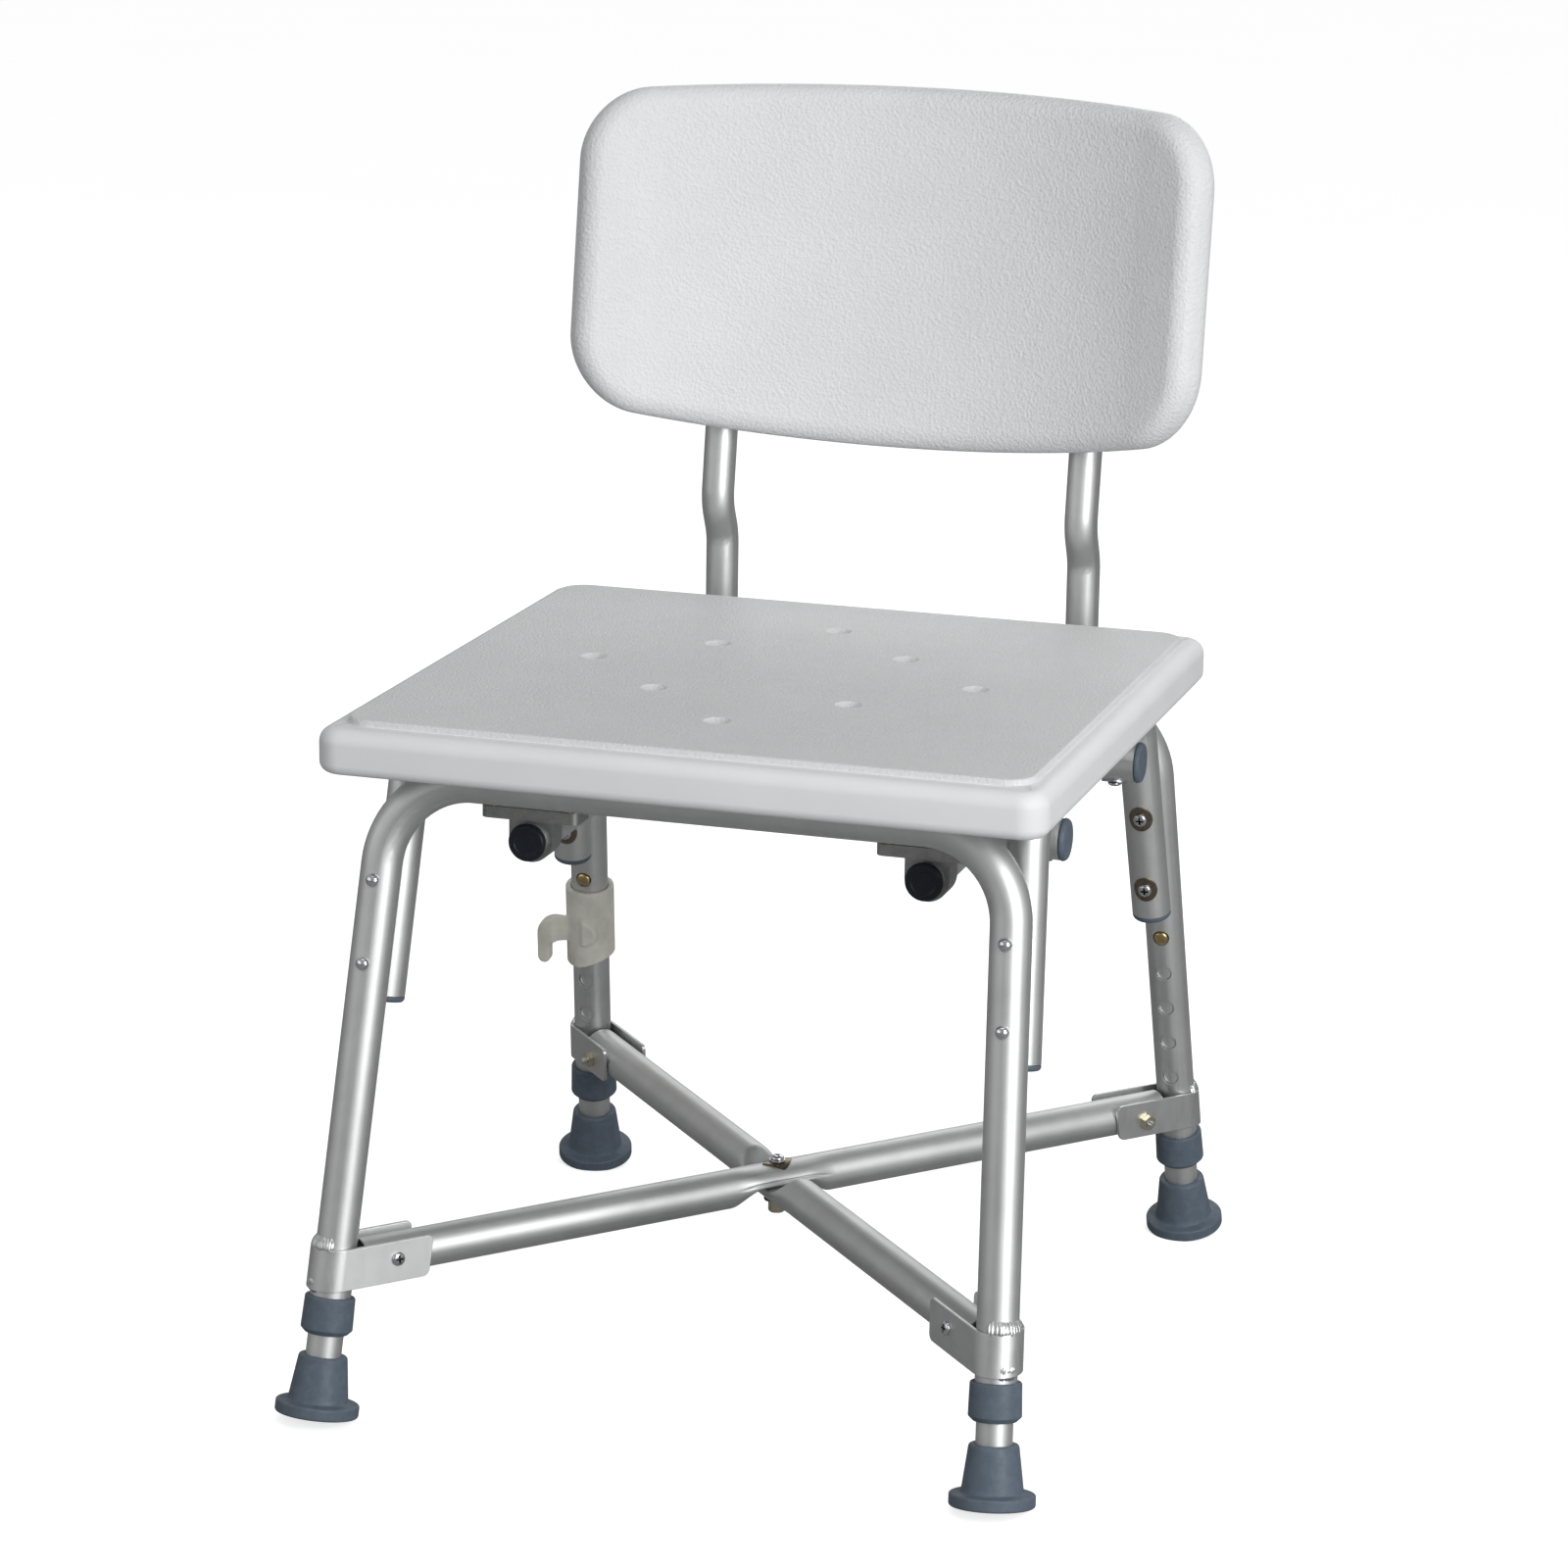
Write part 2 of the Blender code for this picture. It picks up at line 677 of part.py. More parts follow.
def add_backrest():
    middle = Vector((0, BACK_MIDDLE[0], BACK_MIDDLE[1]))
    matrix = Matrix.Translation(middle) @ Matrix.Rotation(-BACK_LEAN, 4, "X")
    back = add_part("backrest", bent_panel_mesh(), "white_plastic", matrix)
    lean = (post_axis(1) - post_axis(0)).normalized()
    for side, label in ((-1, "left"), (1, "right")):
        mirror = Vector((side, 1, 1))
        low = post_axis(SOCKET_BOTTOM_Z) * mirror
        high = post_axis(POST_TOP_Z) * mirror
        tip = high + lean * 0.008
        boss = drills_mesh(f"socket_{label}", [(low, tip, SOCKET_RADIUS)], 20)
        combine(back, add_cutter(f"socket_{label}", boss), "UNION")
        bore = drills_mesh(f"socket_bore_{label}", [(low - lean * 0.06, high + lean * GAP, SLIM + GAP)], 20)
        combine(back, add_cutter(f"socket_bore_{label}", bore), "DIFFERENCE")


# Brace


def brace_frame(start_corner, end_corner):
    """Frame at the brace's middle, X along it, Z up, and half the distance between the legs."""
    start = leg_point(start_corner, BRACE_Z)
    end = leg_point(end_corner, BRACE_Z)
    run = (end - start).normalized()
    middle = (start + end) / 2
    rotation = Matrix((run, Vector((0, 0, 1)).cross(run), Vector((0, 0, 1)))).transposed().to_4x4()
    return Matrix.Translation(middle) @ rotation, (end - start).length / 2


def crimp_share(x):
    """0 along the round stretches of a brace and 1 along its flattened middle."""
    share = 1 - (abs(x) - CRIMP_HALF) / CRIMP_BLEND
    share = min(max(share, 0.0), 1.0)
    return share * share * (3 - 2 * share)


def add_brace(name, start_corner, end_corner, lift):
    """Tube between two legs, flattened in the middle and lifted or lowered to pass the other."""
    matrix, half = brace_frame(start_corner, end_corner)
    reach = half - BRACE_START
    flat = CRIMP_HALF + CRIMP_BLEND
    stations = [flat * (i - 4) / 4 for i in range(9)]
    path = [Vector((x, 0, 0)) for x in [-reach, *stations, reach]]
    mesh = tube_mesh(name, path, TUBE)
    for vert in mesh.vertices:
        share = crimp_share(vert.co.x)
        wide = TUBE + (CRIMP_WIDTH - TUBE) * share
        tall = TUBE + (CRIMP_HEIGHT / 2 - TUBE) * share
        vert.co.y *= wide / TUBE
        vert.co.z = vert.co.z * tall / TUBE + lift * share
    brace = add_part(name, mesh, "aluminium", matrix)
    holes = []
    for sign in (-1, 1):
        end = Vector((sign * (reach + 0.01), 0, 0))
        holes.append((end, Vector((sign * (flat + 0.012), 0, 0)), TUBE_BORE))
    combine(brace, add_cutter(name + "_bore", drills_mesh(name + "_bore", holes, 16), matrix), "DIFFERENCE")
    drills = [(Vector((0, 0, -0.03)), Vector((0, 0, 0.03)), BOLT_RADIUS + 2 * GAP)]
    run = matrix.to_3x3() @ Vector((1, 0, 0))
    for sign, corner in ((-1, start_corner), (1, end_corner)):
        across = matrix.to_3x3().inverted() @ run.cross(leg_up(corner)).normalized() * 0.02
        place = Vector((sign * (half - CLEVIS_BOLT), 0, 0))
        drills.append((place - across, place + across, BOLT_RADIUS + GAP))
    cutter = add_cutter(name + "_drills", drills_mesh(name + "_drills", drills), matrix)
    combine(brace, cutter, "DIFFERENCE")


def clevis_outline():
    """U outline in plan: round the leg at the origin, with both arms along +X."""
    outer = CLEVIS_INNER + CLEVIS_WALL
    points = []
    for radius, sweep in ((outer, 1), (CLEVIS_INNER, -1)):
        points.append(Vector((CLEVIS_REACH, -sweep * radius, 0)))
        for step in range(11):
            angle = math.pi / 2 + math.pi * step / 10
            if sweep == 1:
                angle = 2 * math.pi - angle
            points.append(Vector((radius * math.cos(angle), radius * math.sin(angle), 0)))
        points.append(Vector((CLEVIS_REACH, sweep * radius, 0)))
    return points


def add_clevis(corner, towards):
    """Strap round the leg with two arms that hold the brace's end."""
    name = f"brace_clevis_{corner}"
    base = leg_point(corner, BRACE_Z - CLEVIS_HEIGHT / 2)
    run = (leg_point(towards, BRACE_Z) - leg_point(corner, BRACE_Z)).normalized()
    matrix = Matrix((run, Vector((0, 0, 1)).cross(run), Vector((0, 0, 1)))).transposed()
    rise = leg_up(corner) * CLEVIS_HEIGHT / leg_up(corner).z
    bm = bmesh.new()
    face = bm.faces.new([bm.verts.new(base + matrix @ point) for point in clevis_outline()])
    top = bmesh.ops.extrude_face_region(bm, geom=[face])["geom"]
    bmesh.ops.translate(bm, vec=rise, verts=[item for item in top if isinstance(item, bmesh.types.BMVert)])
    obj = add_part(name, mesh_from(bm, name), "aluminium")
    centre = leg_point(corner, BRACE_Z) + run * CLEVIS_BOLT
    across = run.cross(leg_up(corner)).normalized()
    half = (CLEVIS_INNER + CLEVIS_WALL) * abs(across.dot(matrix @ Vector((0, 1, 0))))
    hole = [(centre - across * 0.03, centre + across * 0.03, BOLT_RADIUS + GAP)]
    combine(obj, add_cutter(name + "_drill", drills_mesh(name + "_drill", hole)), "DIFFERENCE")
    head_side = 1 if (across.y < 0) == corner.startswith("front") else -1
    add_clevis_bolt(corner, centre, across * head_side, half)


def bolt_profile(length, head, nut):
    """Pan head below 0, shank, and a nut above length."""
    return [
        (0, -0.0032),
        (head * 0.8, -0.0026),
        (head, -GAP),
        (BOLT_RADIUS, -GAP),
        (BOLT_RADIUS, length + GAP),
        (nut, length + GAP),
        (nut, length + 0.0042),
        (BOLT_RADIUS, length + 0.0044),
        (BOLT_RADIUS, length + 0.0078),
        (0, length + 0.0078),
    ]


def add_clevis_bolt(corner, centre, head_way, half):
    name = f"clevis_bolt_{corner}"
    mesh = turned_mesh(name, bolt_profile(2 * half, 0.0046, 0.0046), 10)
    add_part(name, mesh, "zinc", along(centre + head_way * half, centre))


def add_centre_bolt():
    """Bolt and nut that clamp the two flattened middles together."""
    matrix, _ = brace_frame("front_left", "rear_right")
    half = CRIMP_HEIGHT + GAP / 2
    start = matrix.translation + Vector((0, 0, half))
    mesh = turned_mesh("brace_centre_bolt", bolt_profile(2 * half, 0.0050, 0.0050), 10)
    add_part("brace_centre_bolt", mesh, "zinc", along(start, matrix.translation))


# Hose hook


def add_hook():
    """Sleeve round the leg, with an arm across its front that turns down at the far end."""
    corner = "rear_left"
    low, high = (leg_point(corner, z) for z in HOOK_Z)
    length = (high - low).length
    profile = [(HOOK_RADIUS, 0), (HOOK_RADIUS, length), (HOOK_BORE, length), (HOOK_BORE, 0)]
    sleeve = turned_mesh("hose_hook", profile, 24, ring=True)
    hook = add_part("hose_hook", sleeve, "milky_plastic", leg_matrix(corner, HOOK_Z[0]))
    matrix = leg_matrix(corner, HOOK_ARM_Z)
    front = HOOK_BAR_FRONT
    side = HOOK_ARM_SIDE
    height = HOOK_ARM_HEIGHT
    arm = block_mesh("hook_arm", (front[0], side[0], height[0]), (front[1], side[1], height[1]))
    combine(hook, add_cutter("hook_arm", arm, matrix), "UNION")
    low = (front[0], side[0], HOOK_FINGER_END)
    high = (front[1], side[0] + HOOK_FINGER, height[0] + 0.003)
    combine(hook, add_cutter("hook_finger", block_mesh("hook_finger", low, high), matrix), "UNION")
    bore = drills_mesh("hook_bore", [(Vector((0, 0, -0.02)), Vector((0, 0, 0.02)), HOOK_BORE)], 24)
    combine(hook, add_cutter("hook_bore", bore, matrix), "DIFFERENCE")


def add_cross_tube(name, y):
    path = [Vector((-CROSS_HALF, y, CROSS_Z)), Vector((CROSS_HALF, y, CROSS_Z))]
    add_hollow_tube(name, path, TUBE, TUBE_BORE)
    for end, inside, label in ((path[0], path[1], "left"), (path[1], path[0], "right")):
        plug = plug_mesh(f"{name}_plug_{label}", TUBE, TUBE_BORE)
        add_part(f"{name}_plug_{label}", plug, "grey_rubber", along(end, inside))


def build():
    add_seat()
    add_backrest()
    add_leg_frame("front_leg_frame", "front_left", "front_right")
    add_leg_frame("rear_leg_frame", "rear_left", "rear_right")
    for label, side in (("left", -1), ("right", 1)):
        add_side_frame(f"{label}_side_frame", f"front_{label}", f"rear_{label}")
        add_post(f"{label}_back_post", side)
    for end, y in zip(("front", "rear"), CROSS_Y):
        add_cross_tube(f"{end}_cross_tube", y)
        for label, side in (("left", -1), ("right", 1)):
            add_bracket(f"{end}_post_bracket_{label}", side, y)
    for corner in CORNERS:
        add_extension(corner)
        add_button(corner)
        add_collar(corner)
        add_foot(corner)
        for label, z in zip(("upper", "lower"), BOLT_Z):
            add_frame_bolt(f"frame_bolt_{corner}_{label}", corner, z)
    add_brace("brace_over", "front_left", "rear_right", CRIMP_HEIGHT / 2 + GAP / 2)
    add_brace("brace_under", "rear_left", "front_right", -CRIMP_HEIGHT / 2 - GAP / 2)
    add_centre_bolt()
    add_clevis("front_left", "rear_right")
    add_clevis("rear_right", "front_left")
    add_clevis("rear_left", "front_right")
    add_clevis("front_right", "rear_left")
    add_hook()


build()
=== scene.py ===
import math
from math import cos, pi, radians, sin

import bmesh
import bpy
import numpy as np
from mathutils import Matrix, Vector


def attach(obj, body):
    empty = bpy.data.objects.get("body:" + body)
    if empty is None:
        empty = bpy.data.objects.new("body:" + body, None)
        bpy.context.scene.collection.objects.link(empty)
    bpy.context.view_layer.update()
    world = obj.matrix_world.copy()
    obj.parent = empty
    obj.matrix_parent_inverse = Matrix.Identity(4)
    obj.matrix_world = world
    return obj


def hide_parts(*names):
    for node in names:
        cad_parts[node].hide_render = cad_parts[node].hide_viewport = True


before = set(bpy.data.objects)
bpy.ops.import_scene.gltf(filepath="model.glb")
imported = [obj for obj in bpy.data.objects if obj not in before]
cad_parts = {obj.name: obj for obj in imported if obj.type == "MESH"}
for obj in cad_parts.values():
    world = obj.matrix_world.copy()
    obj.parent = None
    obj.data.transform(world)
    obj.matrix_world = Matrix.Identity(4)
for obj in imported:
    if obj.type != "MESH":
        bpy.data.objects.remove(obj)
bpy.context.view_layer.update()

# Driving dimensions, in metres. They are the CAD part's, apart from a few that come closer to
# the real chair and those of details that only the look has.
GAP = 0.0003
FIT = 0.0001
SEAT_Y = -0.02227
SEAT_HALF = (0.2268, 0.2192)
PANEL_HALF = (0.2142, 0.2029)
RIM_TOP = 0.4307
PANEL_TOP = 0.4347
SEAT_BOTTOM = 0.4023
RIM_CORNER = 0.017
PANEL_CORNER = 0.018
SKIRT = 0.006
DECK = 0.008
RIB = 0.004
POCKET_LINES_X = (-0.178, -0.030, 0.030, 0.178)
POCKET_LINES_Y = (-0.206, -0.100, -0.035, 0.035, 0.100, 0.206)
DRAIN_REACH = (0.1258, 0.1281)
DRAIN_SHIFT = 0.0048
DRAIN_RADIUS = 0.0046
DIMPLE_RADIUS = 0.0088
NOTCH_INSET = 0.024
NOTCH_REACH = Vector((0.0075, 0.0035, 0.0072))
SEAT_ROUND = (0.0095, 0.0070)
TUBE = 0.0127
TUBE_BORE = 0.0115
SLIM = 0.0111
SLIM_BORE = 0.0096
LEG_FOOT_X = 0.2152
LEG_TOP_X = 0.1959
LEG_TOP_Z = 0.392
FRONT_LEG_Y = (SEAT_Y - 0.2496, SEAT_Y - 0.1645)
REAR_LEG_Y = (SEAT_Y + 0.2670, SEAT_Y + 0.1846)
LEG_BEND = 0.057
LEG_END_Z = 0.0560
HOLE_TOP_Z = 0.2269
HOLE_PITCH = 0.0265
HOLE_COUNT = 5
HOLE_RADIUS = 0.0055
DRILL_REACH = (0.004, 0.020)
BUTTON_RADIUS = 0.0047
BUTTON_PROUD = 0.0026
EXTENSION_ABOVE_BUTTON = 0.016
COLLAR_RADIUS = 0.0161
COLLAR_HEIGHT = 0.0236
COLLAR_LIP = 0.002
FOOT_SOLE = 0.0046
FOOT_HEIGHT = 0.0415
FOOT_FLOOR = 0.0185
SIDE_OFFSET = 0.032
SIDE_TOP_Z = 0.3983
SIDE_BEND = 0.028
SIDE_END_Z = 0.2575
SIDE_TOP_X = (0.1962, 0.1936)
BOLT_Z = (0.3290, 0.2788)
BOLT_RADIUS = 0.0025
SPACER_RADIUS = 0.0062
SADDLE_LIFT = 0.0013
CROSS_Y = (SEAT_Y - 0.0977, SEAT_Y + 0.0977)
CROSS_Z = SIDE_TOP_Z - 2 * TUBE - GAP
CROSS_HALF = 0.2087
CROSS_SCREW_X = 0.1945
POST_X = 0.1275
POST_Z = 0.3420
POST_FRONT_Y = SEAT_Y - 0.1090
POST_REAR_Y = SEAT_Y + 0.2735
POST_BEND = 0.070
POST_KINK_Z = (0.462, 0.486)
POST_KINK_Y = SEAT_Y + 0.2610
POST_TOP_Z = 0.715
BACK_LEAN = radians(8.8)
BRACKET_HALF = (0.0320, 0.0125)
BRACKET_PLATE = 0.0050
BRACKET_SLEEVE = 0.0142
BRACKET_SLEEVE_HALF = 0.0090
BRACKET_SCREW_INSET = 0.0070
BRACKET_STUD_Y = 0.0096
BACK_WIDTH = 0.4606
BACK_HEIGHT = 0.2058
BACK_THICK = 0.0284
BACK_CORNER = 0.0453
BACK_ROUND = 0.0125
BACK_CURVE = 0.3324
BACK_MIDDLE = (SEAT_Y + 0.2883, 0.6518)
BACK_BOW_TOP = 0.0159
BACK_BOW_BOTTOM = 0.0195
SOCKET_RADIUS = 0.0145
SOCKET_BOTTOM_Z = 0.556
BRACE_Z = 0.096
BRACE_START = 0.0175
CRIMP_HALF = 0.0172
CRIMP_BLEND = 0.0200
CRIMP_HEIGHT = 0.0121
CREASE_ANGLE = 8
CREASE_DEPTH = 0.0011
CRIMP_WIDTH = 0.0140
CLEVIS_INNER = 0.0134
CLEVIS_WALL = 0.0024
CLEVIS_REACH = 0.059
CLEVIS_HEIGHT = 0.0252
CLEVIS_BOLT = 0.036
CLEVIS_TIP = 0.0042
NUT_HEIGHT = 0.0042
# Weld beads: (label, height as a share of the strap's, turn, half spread in degrees, size)
WELDS = (("top", 0.50, 8, 64, 1.0), ("bottom", -0.52, 4, 29, 1.05))
HOOK_CORNER = "rear_left"
HOOK_Z = (0.1600, 0.2178)
HOOK_BORE = 0.0131
HOOK_RADIUS = 0.0168
HOOK_ARM_Z = 0.185
HOOK_BAR_FRONT = (0.0100, 0.0196)
HOOK_ARM_SIDE = (-0.0331, 0.0105)
HOOK_ARM_HEIGHT = (-0.0070, 0.0126)
HOOK_FINGER = 0.0090
HOOK_FINGER_END = -0.0240

# Legs: (side, y at the floor and at the top, way inward along Y)
CORNERS = {
    "front_left": (-1, FRONT_LEG_Y, 1),
    "front_right": (1, FRONT_LEG_Y, 1),
    "rear_left": (-1, REAR_LEG_Y, -1),
    "rear_right": (1, REAR_LEG_Y, -1),
}
# Braces: (node, (first and last leg), 1 over or -1 under the other)
BRACES = (
    ("brace_over", ("front_left", "rear_right"), 1),
    ("brace_under", ("rear_left", "front_right"), -1),
)
LEFT_RIGHT = (("left", -1), ("right", 1))
SIDES = 48
BRACE_SIDES = 120
UP = Vector((0, 0, 1))

# Studio: (name, azimuth, elevation, distance, (width, height), watts)
LIGHTS = (
    ("key", 51, 16, 2.8, (1.4, 1.9), 52),
    ("fill", -46, 16, 3.2, (2.8, 1.8), 10),
    ("top", 10, 80, 2.8, (2.2, 2.2), 9),
    ("rim", 180, 26, 3.0, (2.4, 1.4), 15),
)
LIGHT_TARGET_Z = 0.4
WORLD_LIGHT = 0.31
FLOOR_GLOW = 0.70
FLOOR_BOUNCE = (0.30, 0.30, 0.30)
WORLD_SEEN = (0.975, 0.975, 0.975)
# Camera: (azimuth, elevation) and roll in degrees, lens in millimetres
CAMERA_WAY = (17.074, 14.737)
CAMERA_ROLL = 0.880
CAMERA_PLACE = (0.8672, SEAT_Y - 2.8088, 1.1414)
CAMERA_LENS = 110.556
CAMERA_SHIFT = (-0.0011, -0.0047)


# Materials


class Paint:
    """A Principled material whose nodes are added by name."""

    def __init__(self, name, colour, roughness, metallic=0.0, **values):
        self.material = bpy.data.materials.new(name)
        self.material.use_nodes = True
        self.tree = self.material.node_tree
        self.shader = self.tree.nodes["Principled BSDF"]
        self.colour = colour
        self.roughness = roughness
        self.normal = None
        self.set(Base_Color=(*colour, 1.0), Roughness=roughness, Metallic=metallic, **values)

    def set(self, **values):
        for key, value in values.items():
            self.shader.inputs[key.replace("_", " ")].default_value = value

    def node(self, kind, **settings):
        node = self.tree.nodes.new("ShaderNode" + kind)
        for key, value in settings.items():
            if key in node.inputs:
                node.inputs[key].default_value = value
            else:
                setattr(node, key, value)
        return node

    def link(self, start, end):
        self.tree.links.new(start, end)

    def coordinates(self, stretch=(1, 1, 1), grain=False):
        """Object coordinates in metres, or a tube's own: across, across and along it."""
        if grain:
            place = self.node("Attribute", attribute_name="grain").outputs["Vector"]
        else:
            place = self.node("TexCoord").outputs["Object"]
        mapping = self.node("Mapping", Scale=stretch)
        self.link(place, mapping.inputs["Vector"])
        return mapping.outputs["Vector"]

    def noise(self, place, scale, detail=3.0, rough=0.55):
        node = self.node("TexNoise", Scale=scale, Detail=detail, Roughness=rough)
        self.link(place, node.inputs["Vector"])
        return node.outputs["Fac"]

    def cells(self, place, scale):
        node = self.node("TexVoronoi", feature="SMOOTH_F1", Scale=scale, Smoothness=0.6)
        self.link(place, node.inputs["Vector"])
        return node.outputs["Distance"]

    def spread(self, value, low, high, start=0.3, end=0.7):
        node = self.node("MapRange")
        for key, number in zip(("From Min", "From Max", "To Min", "To Max"), (start, end, low, high)):
            node.inputs[key].default_value = number
        self.link(value, node.inputs["Value"])
        return node.outputs["Result"]

    def vary_roughness(self, value, by):
        low, high = self.roughness - by, self.roughness + by
        self.link(self.spread(value, low, high), self.shader.inputs["Roughness"])

    def vary_colour(self, value, other, start=0.3, end=0.7):
        mix = self.node("Mix", data_type="RGBA")
        mix.inputs[6].default_value = (*self.colour, 1.0)
        mix.inputs[7].default_value = (*other, 1.0)
        self.link(self.spread(value, 0.0, 1.0, start, end), mix.inputs[0])
        self.link(mix.outputs[2], self.shader.inputs["Base Color"])

    def bump(self, value, height, strength=1.0):
        node = self.node("Bump", Strength=strength, Distance=height)
        self.link(value, node.inputs["Height"])
        if self.normal:
            self.link(self.normal, node.inputs["Normal"])
        self.normal = node.outputs["Normal"]
        self.link(self.normal, self.shader.inputs["Normal"])


def tinted(colour, share):
    return tuple(channel * share for channel in colour)


def moulded_plastic(name, grain_height, cell, colour):
    """White polyethylene with the pebbled grain of its mould."""
    paint = Paint(name, colour, 0.50, Specular_IOR_Level=0.40)
    paint.set(Subsurface_Weight=0.12, Subsurface_Radius=(1.0, 0.9, 0.8), Subsurface_Scale=0.003)
    place = paint.coordinates()
    paint.vary_colour(paint.noise(place, 14), tinted(colour, 0.96))
    paint.vary_roughness(paint.noise(place, 90), 0.05)
    if grain_height:
        paint.bump(paint.cells(place, cell), grain_height, 0.9)
    paint.bump(paint.noise(place, 2600, 2), 0.00004, 0.5)
    paint.bump(paint.noise(place, 30, 2), 0.0006, 0.35)
    return paint.material


def satin_metal(name, colour, roughness, streak=0.00002):
    """Anodised tube: fine drawn lines along it, and faint clouding."""
    paint = Paint(name, colour, roughness, 1.0)
    lines = paint.coordinates((1, 1, 0.012), grain=True)
    cloud = paint.coordinates(grain=True)
    paint.bump(paint.noise(lines, 1500, 2), streak, 0.8)
    paint.bump(paint.noise(cloud, 3500, 2), 0.000012, 0.7)
    paint.vary_roughness(paint.noise(lines, 420, 3), 0.05)
    paint.vary_colour(paint.noise(cloud, 40, 3), tinted(colour, 0.90), 0.35, 0.75)
    return paint.material


def plain_metal(name, colour, roughness, cast=0.0):
    """Bare or plated metal, with a coarser skin where it is cast or welded."""
    paint = Paint(name, colour, roughness, 1.0)
    place = paint.coordinates()
    paint.vary_roughness(paint.noise(place, 500), 0.07)
    paint.vary_colour(paint.noise(place, 260, 4), tinted(colour, 0.78), 0.45, 0.8)
    paint.bump(paint.noise(place, 1800, 3), 0.00002 + cast, 0.6)
    return paint.material


def soft_rubber(name, colour, roughness):
    paint = Paint(name, colour, roughness, Specular_IOR_Level=0.35)
    place = paint.coordinates()
    paint.vary_colour(paint.noise(place, 160, 4), tinted(colour, 1.28), 0.42, 0.8)
    paint.vary_roughness(paint.noise(place, 240), 0.08)
    paint.bump(paint.noise(place, 1500, 3), 0.00006, 0.6)
    return paint.material


def milky_plastic():
    """Half-clear moulding of the hose hook."""
    paint = Paint("milky_plastic", (0.85, 0.84, 0.775), 0.42, Specular_IOR_Level=0.4)
    paint.set(Subsurface_Weight=0.35, Subsurface_Radius=(1.0, 0.9, 0.7), Subsurface_Scale=0.005)
    place = paint.coordinates()
    paint.vary_colour(paint.noise(place, 60), (0.66, 0.65, 0.58))
    paint.bump(paint.noise(place, 900, 3), 0.00005, 0.5)
    return paint.material


# The seat's top panel and its rim are one plastic: the panel's tone is darker as painted shade, and the
# rim's is lighter as painted light. The panel also carries the real grain.
SHADED_PANEL = moulded_plastic("seat_grain_and_painted_shade", 0.00042, 560, (0.755, 0.765, 0.770))
BACK = moulded_plastic("back_grain", 0.00062, 500, (0.845, 0.855, 0.865))
LIT_RIM = moulded_plastic("seat_rim_painted_light", 0.0, 0, (0.856, 0.868, 0.880))
ALUMINIUM = satin_metal("anodised_tube", (0.75, 0.76, 0.755), 0.50)
SHEET = satin_metal("clevis_sheet", (0.75, 0.76, 0.755), 0.46, 0.00003)
WELD = plain_metal("weld_bead", (0.80, 0.81, 0.81), 0.33, 0.00006)
CAST = plain_metal("cast_bracket", (0.43, 0.44, 0.43), 0.48, 0.00008)
ZINC = plain_metal("bright_zinc", (0.80, 0.81, 0.83), 0.16)
# Painted shade: near-black metal for the inside of the screw heads' cross recesses, standing for the shadow
# there.
PAINTED_RECESS_SHADE = plain_metal("screw_recess_painted_shade", (0.10, 0.10, 0.11), 0.45)
SCREW = (ZINC, PAINTED_RECESS_SHADE)
CHROME = plain_metal("bright_dome", (0.86, 0.87, 0.89), 0.10)
YELLOW = plain_metal("yellow_zinc", (0.74, 0.68, 0.50), 0.26)
BRASS = plain_metal("brass", (0.66, 0.50, 0.24), 0.24)
BRONZE = plain_metal("dark_washer", (0.24, 0.20, 0.15), 0.30)
RUBBER = soft_rubber("slate_rubber", (0.105, 0.135, 0.172), 0.50)
BLACK = soft_rubber("black_plug", (0.012, 0.016, 0.024), 0.34)
MILKY = milky_plastic()


# Mesh helpers


def mesh_from(bm, name="part"):
    bmesh.ops.recalc_face_normals(bm, faces=bm.faces)
    mesh = bpy.data.meshes.new(name)
    bm.to_mesh(mesh)
    bm.free()
    return mesh


def linked(name, data):
    """A new object in the scene."""
    obj = bpy.data.objects.new(name, data)
    bpy.context.scene.collection.objects.link(obj)
    return obj


def bridge(bm, *loops):
    """Faces from each closed loop of vertices to the next one."""
    for a, b in zip(loops, loops[1:]):
        for k in range(len(a)):
            n = (k + 1) % len(a)
            bm.faces.new((a[k], a[n], b[n], b[k]))


def shell_from(bm, outer, inner):
    """A wall between two skins of loops, closed at both ends."""
    bridge(bm, *outer)
    bridge(bm, *inner)
    for end in (0, -1):
        bridge(bm, outer[end], inner[end])
    return mesh_from(bm)


def solid_from(bm, loops):
    """A skin of loops with a flat face at both ends."""
    bridge(bm, *loops)
    bm.faces.new(loops[0])
    bm.faces.new(loops[-1])
    return mesh_from(bm)


def bevelled(bm, edges, width, steps):
    bmesh.ops.bevel(bm, geom=edges, offset=width, segments=steps, affect="EDGES", profile=0.5)


def arc(x, y, radius, start, turn, steps, height=None):
    """Points round (x, y), angles in degrees. A height makes it part of an ellipse."""
    height = radius if height is None else height
    angles = [radians(start + turn * step / steps) for step in range(steps + 1)]
    return [(x + radius * cos(a), y + height * sin(a)) for a in angles]


def circle(radius, sides=SIDES):
    angles = [2 * pi * k / sides for k in range(sides)]
    return [(radius * cos(a), radius * sin(a)) for a in angles]


def prism(points, rise):
    """An outline extruded by the vector rise, still as a bmesh."""
    bm = bmesh.new()
    face = bm.faces.new([bm.verts.new(point) for point in points])
    top = bmesh.ops.extrude_face_region(bm, geom=[face])["geom"]
    lifted = [item for item in top if isinstance(item, bmesh.types.BMVert)]
    bmesh.ops.translate(bm, vec=rise, verts=lifted)
    return bm


def moved(mesh, matrix):
    """A copy of the mesh at that place."""
    copy = mesh.copy()
    copy.transform(matrix)
    if matrix.determinant() < 0:
        copy.flip_normals()
    return copy


def joined(*meshes):
    bm = bmesh.new()
    for mesh in meshes:
        bm.from_mesh(mesh)
    result = bpy.data.meshes.new("joined")
    bm.to_mesh(result)
    bm.free()
    return result


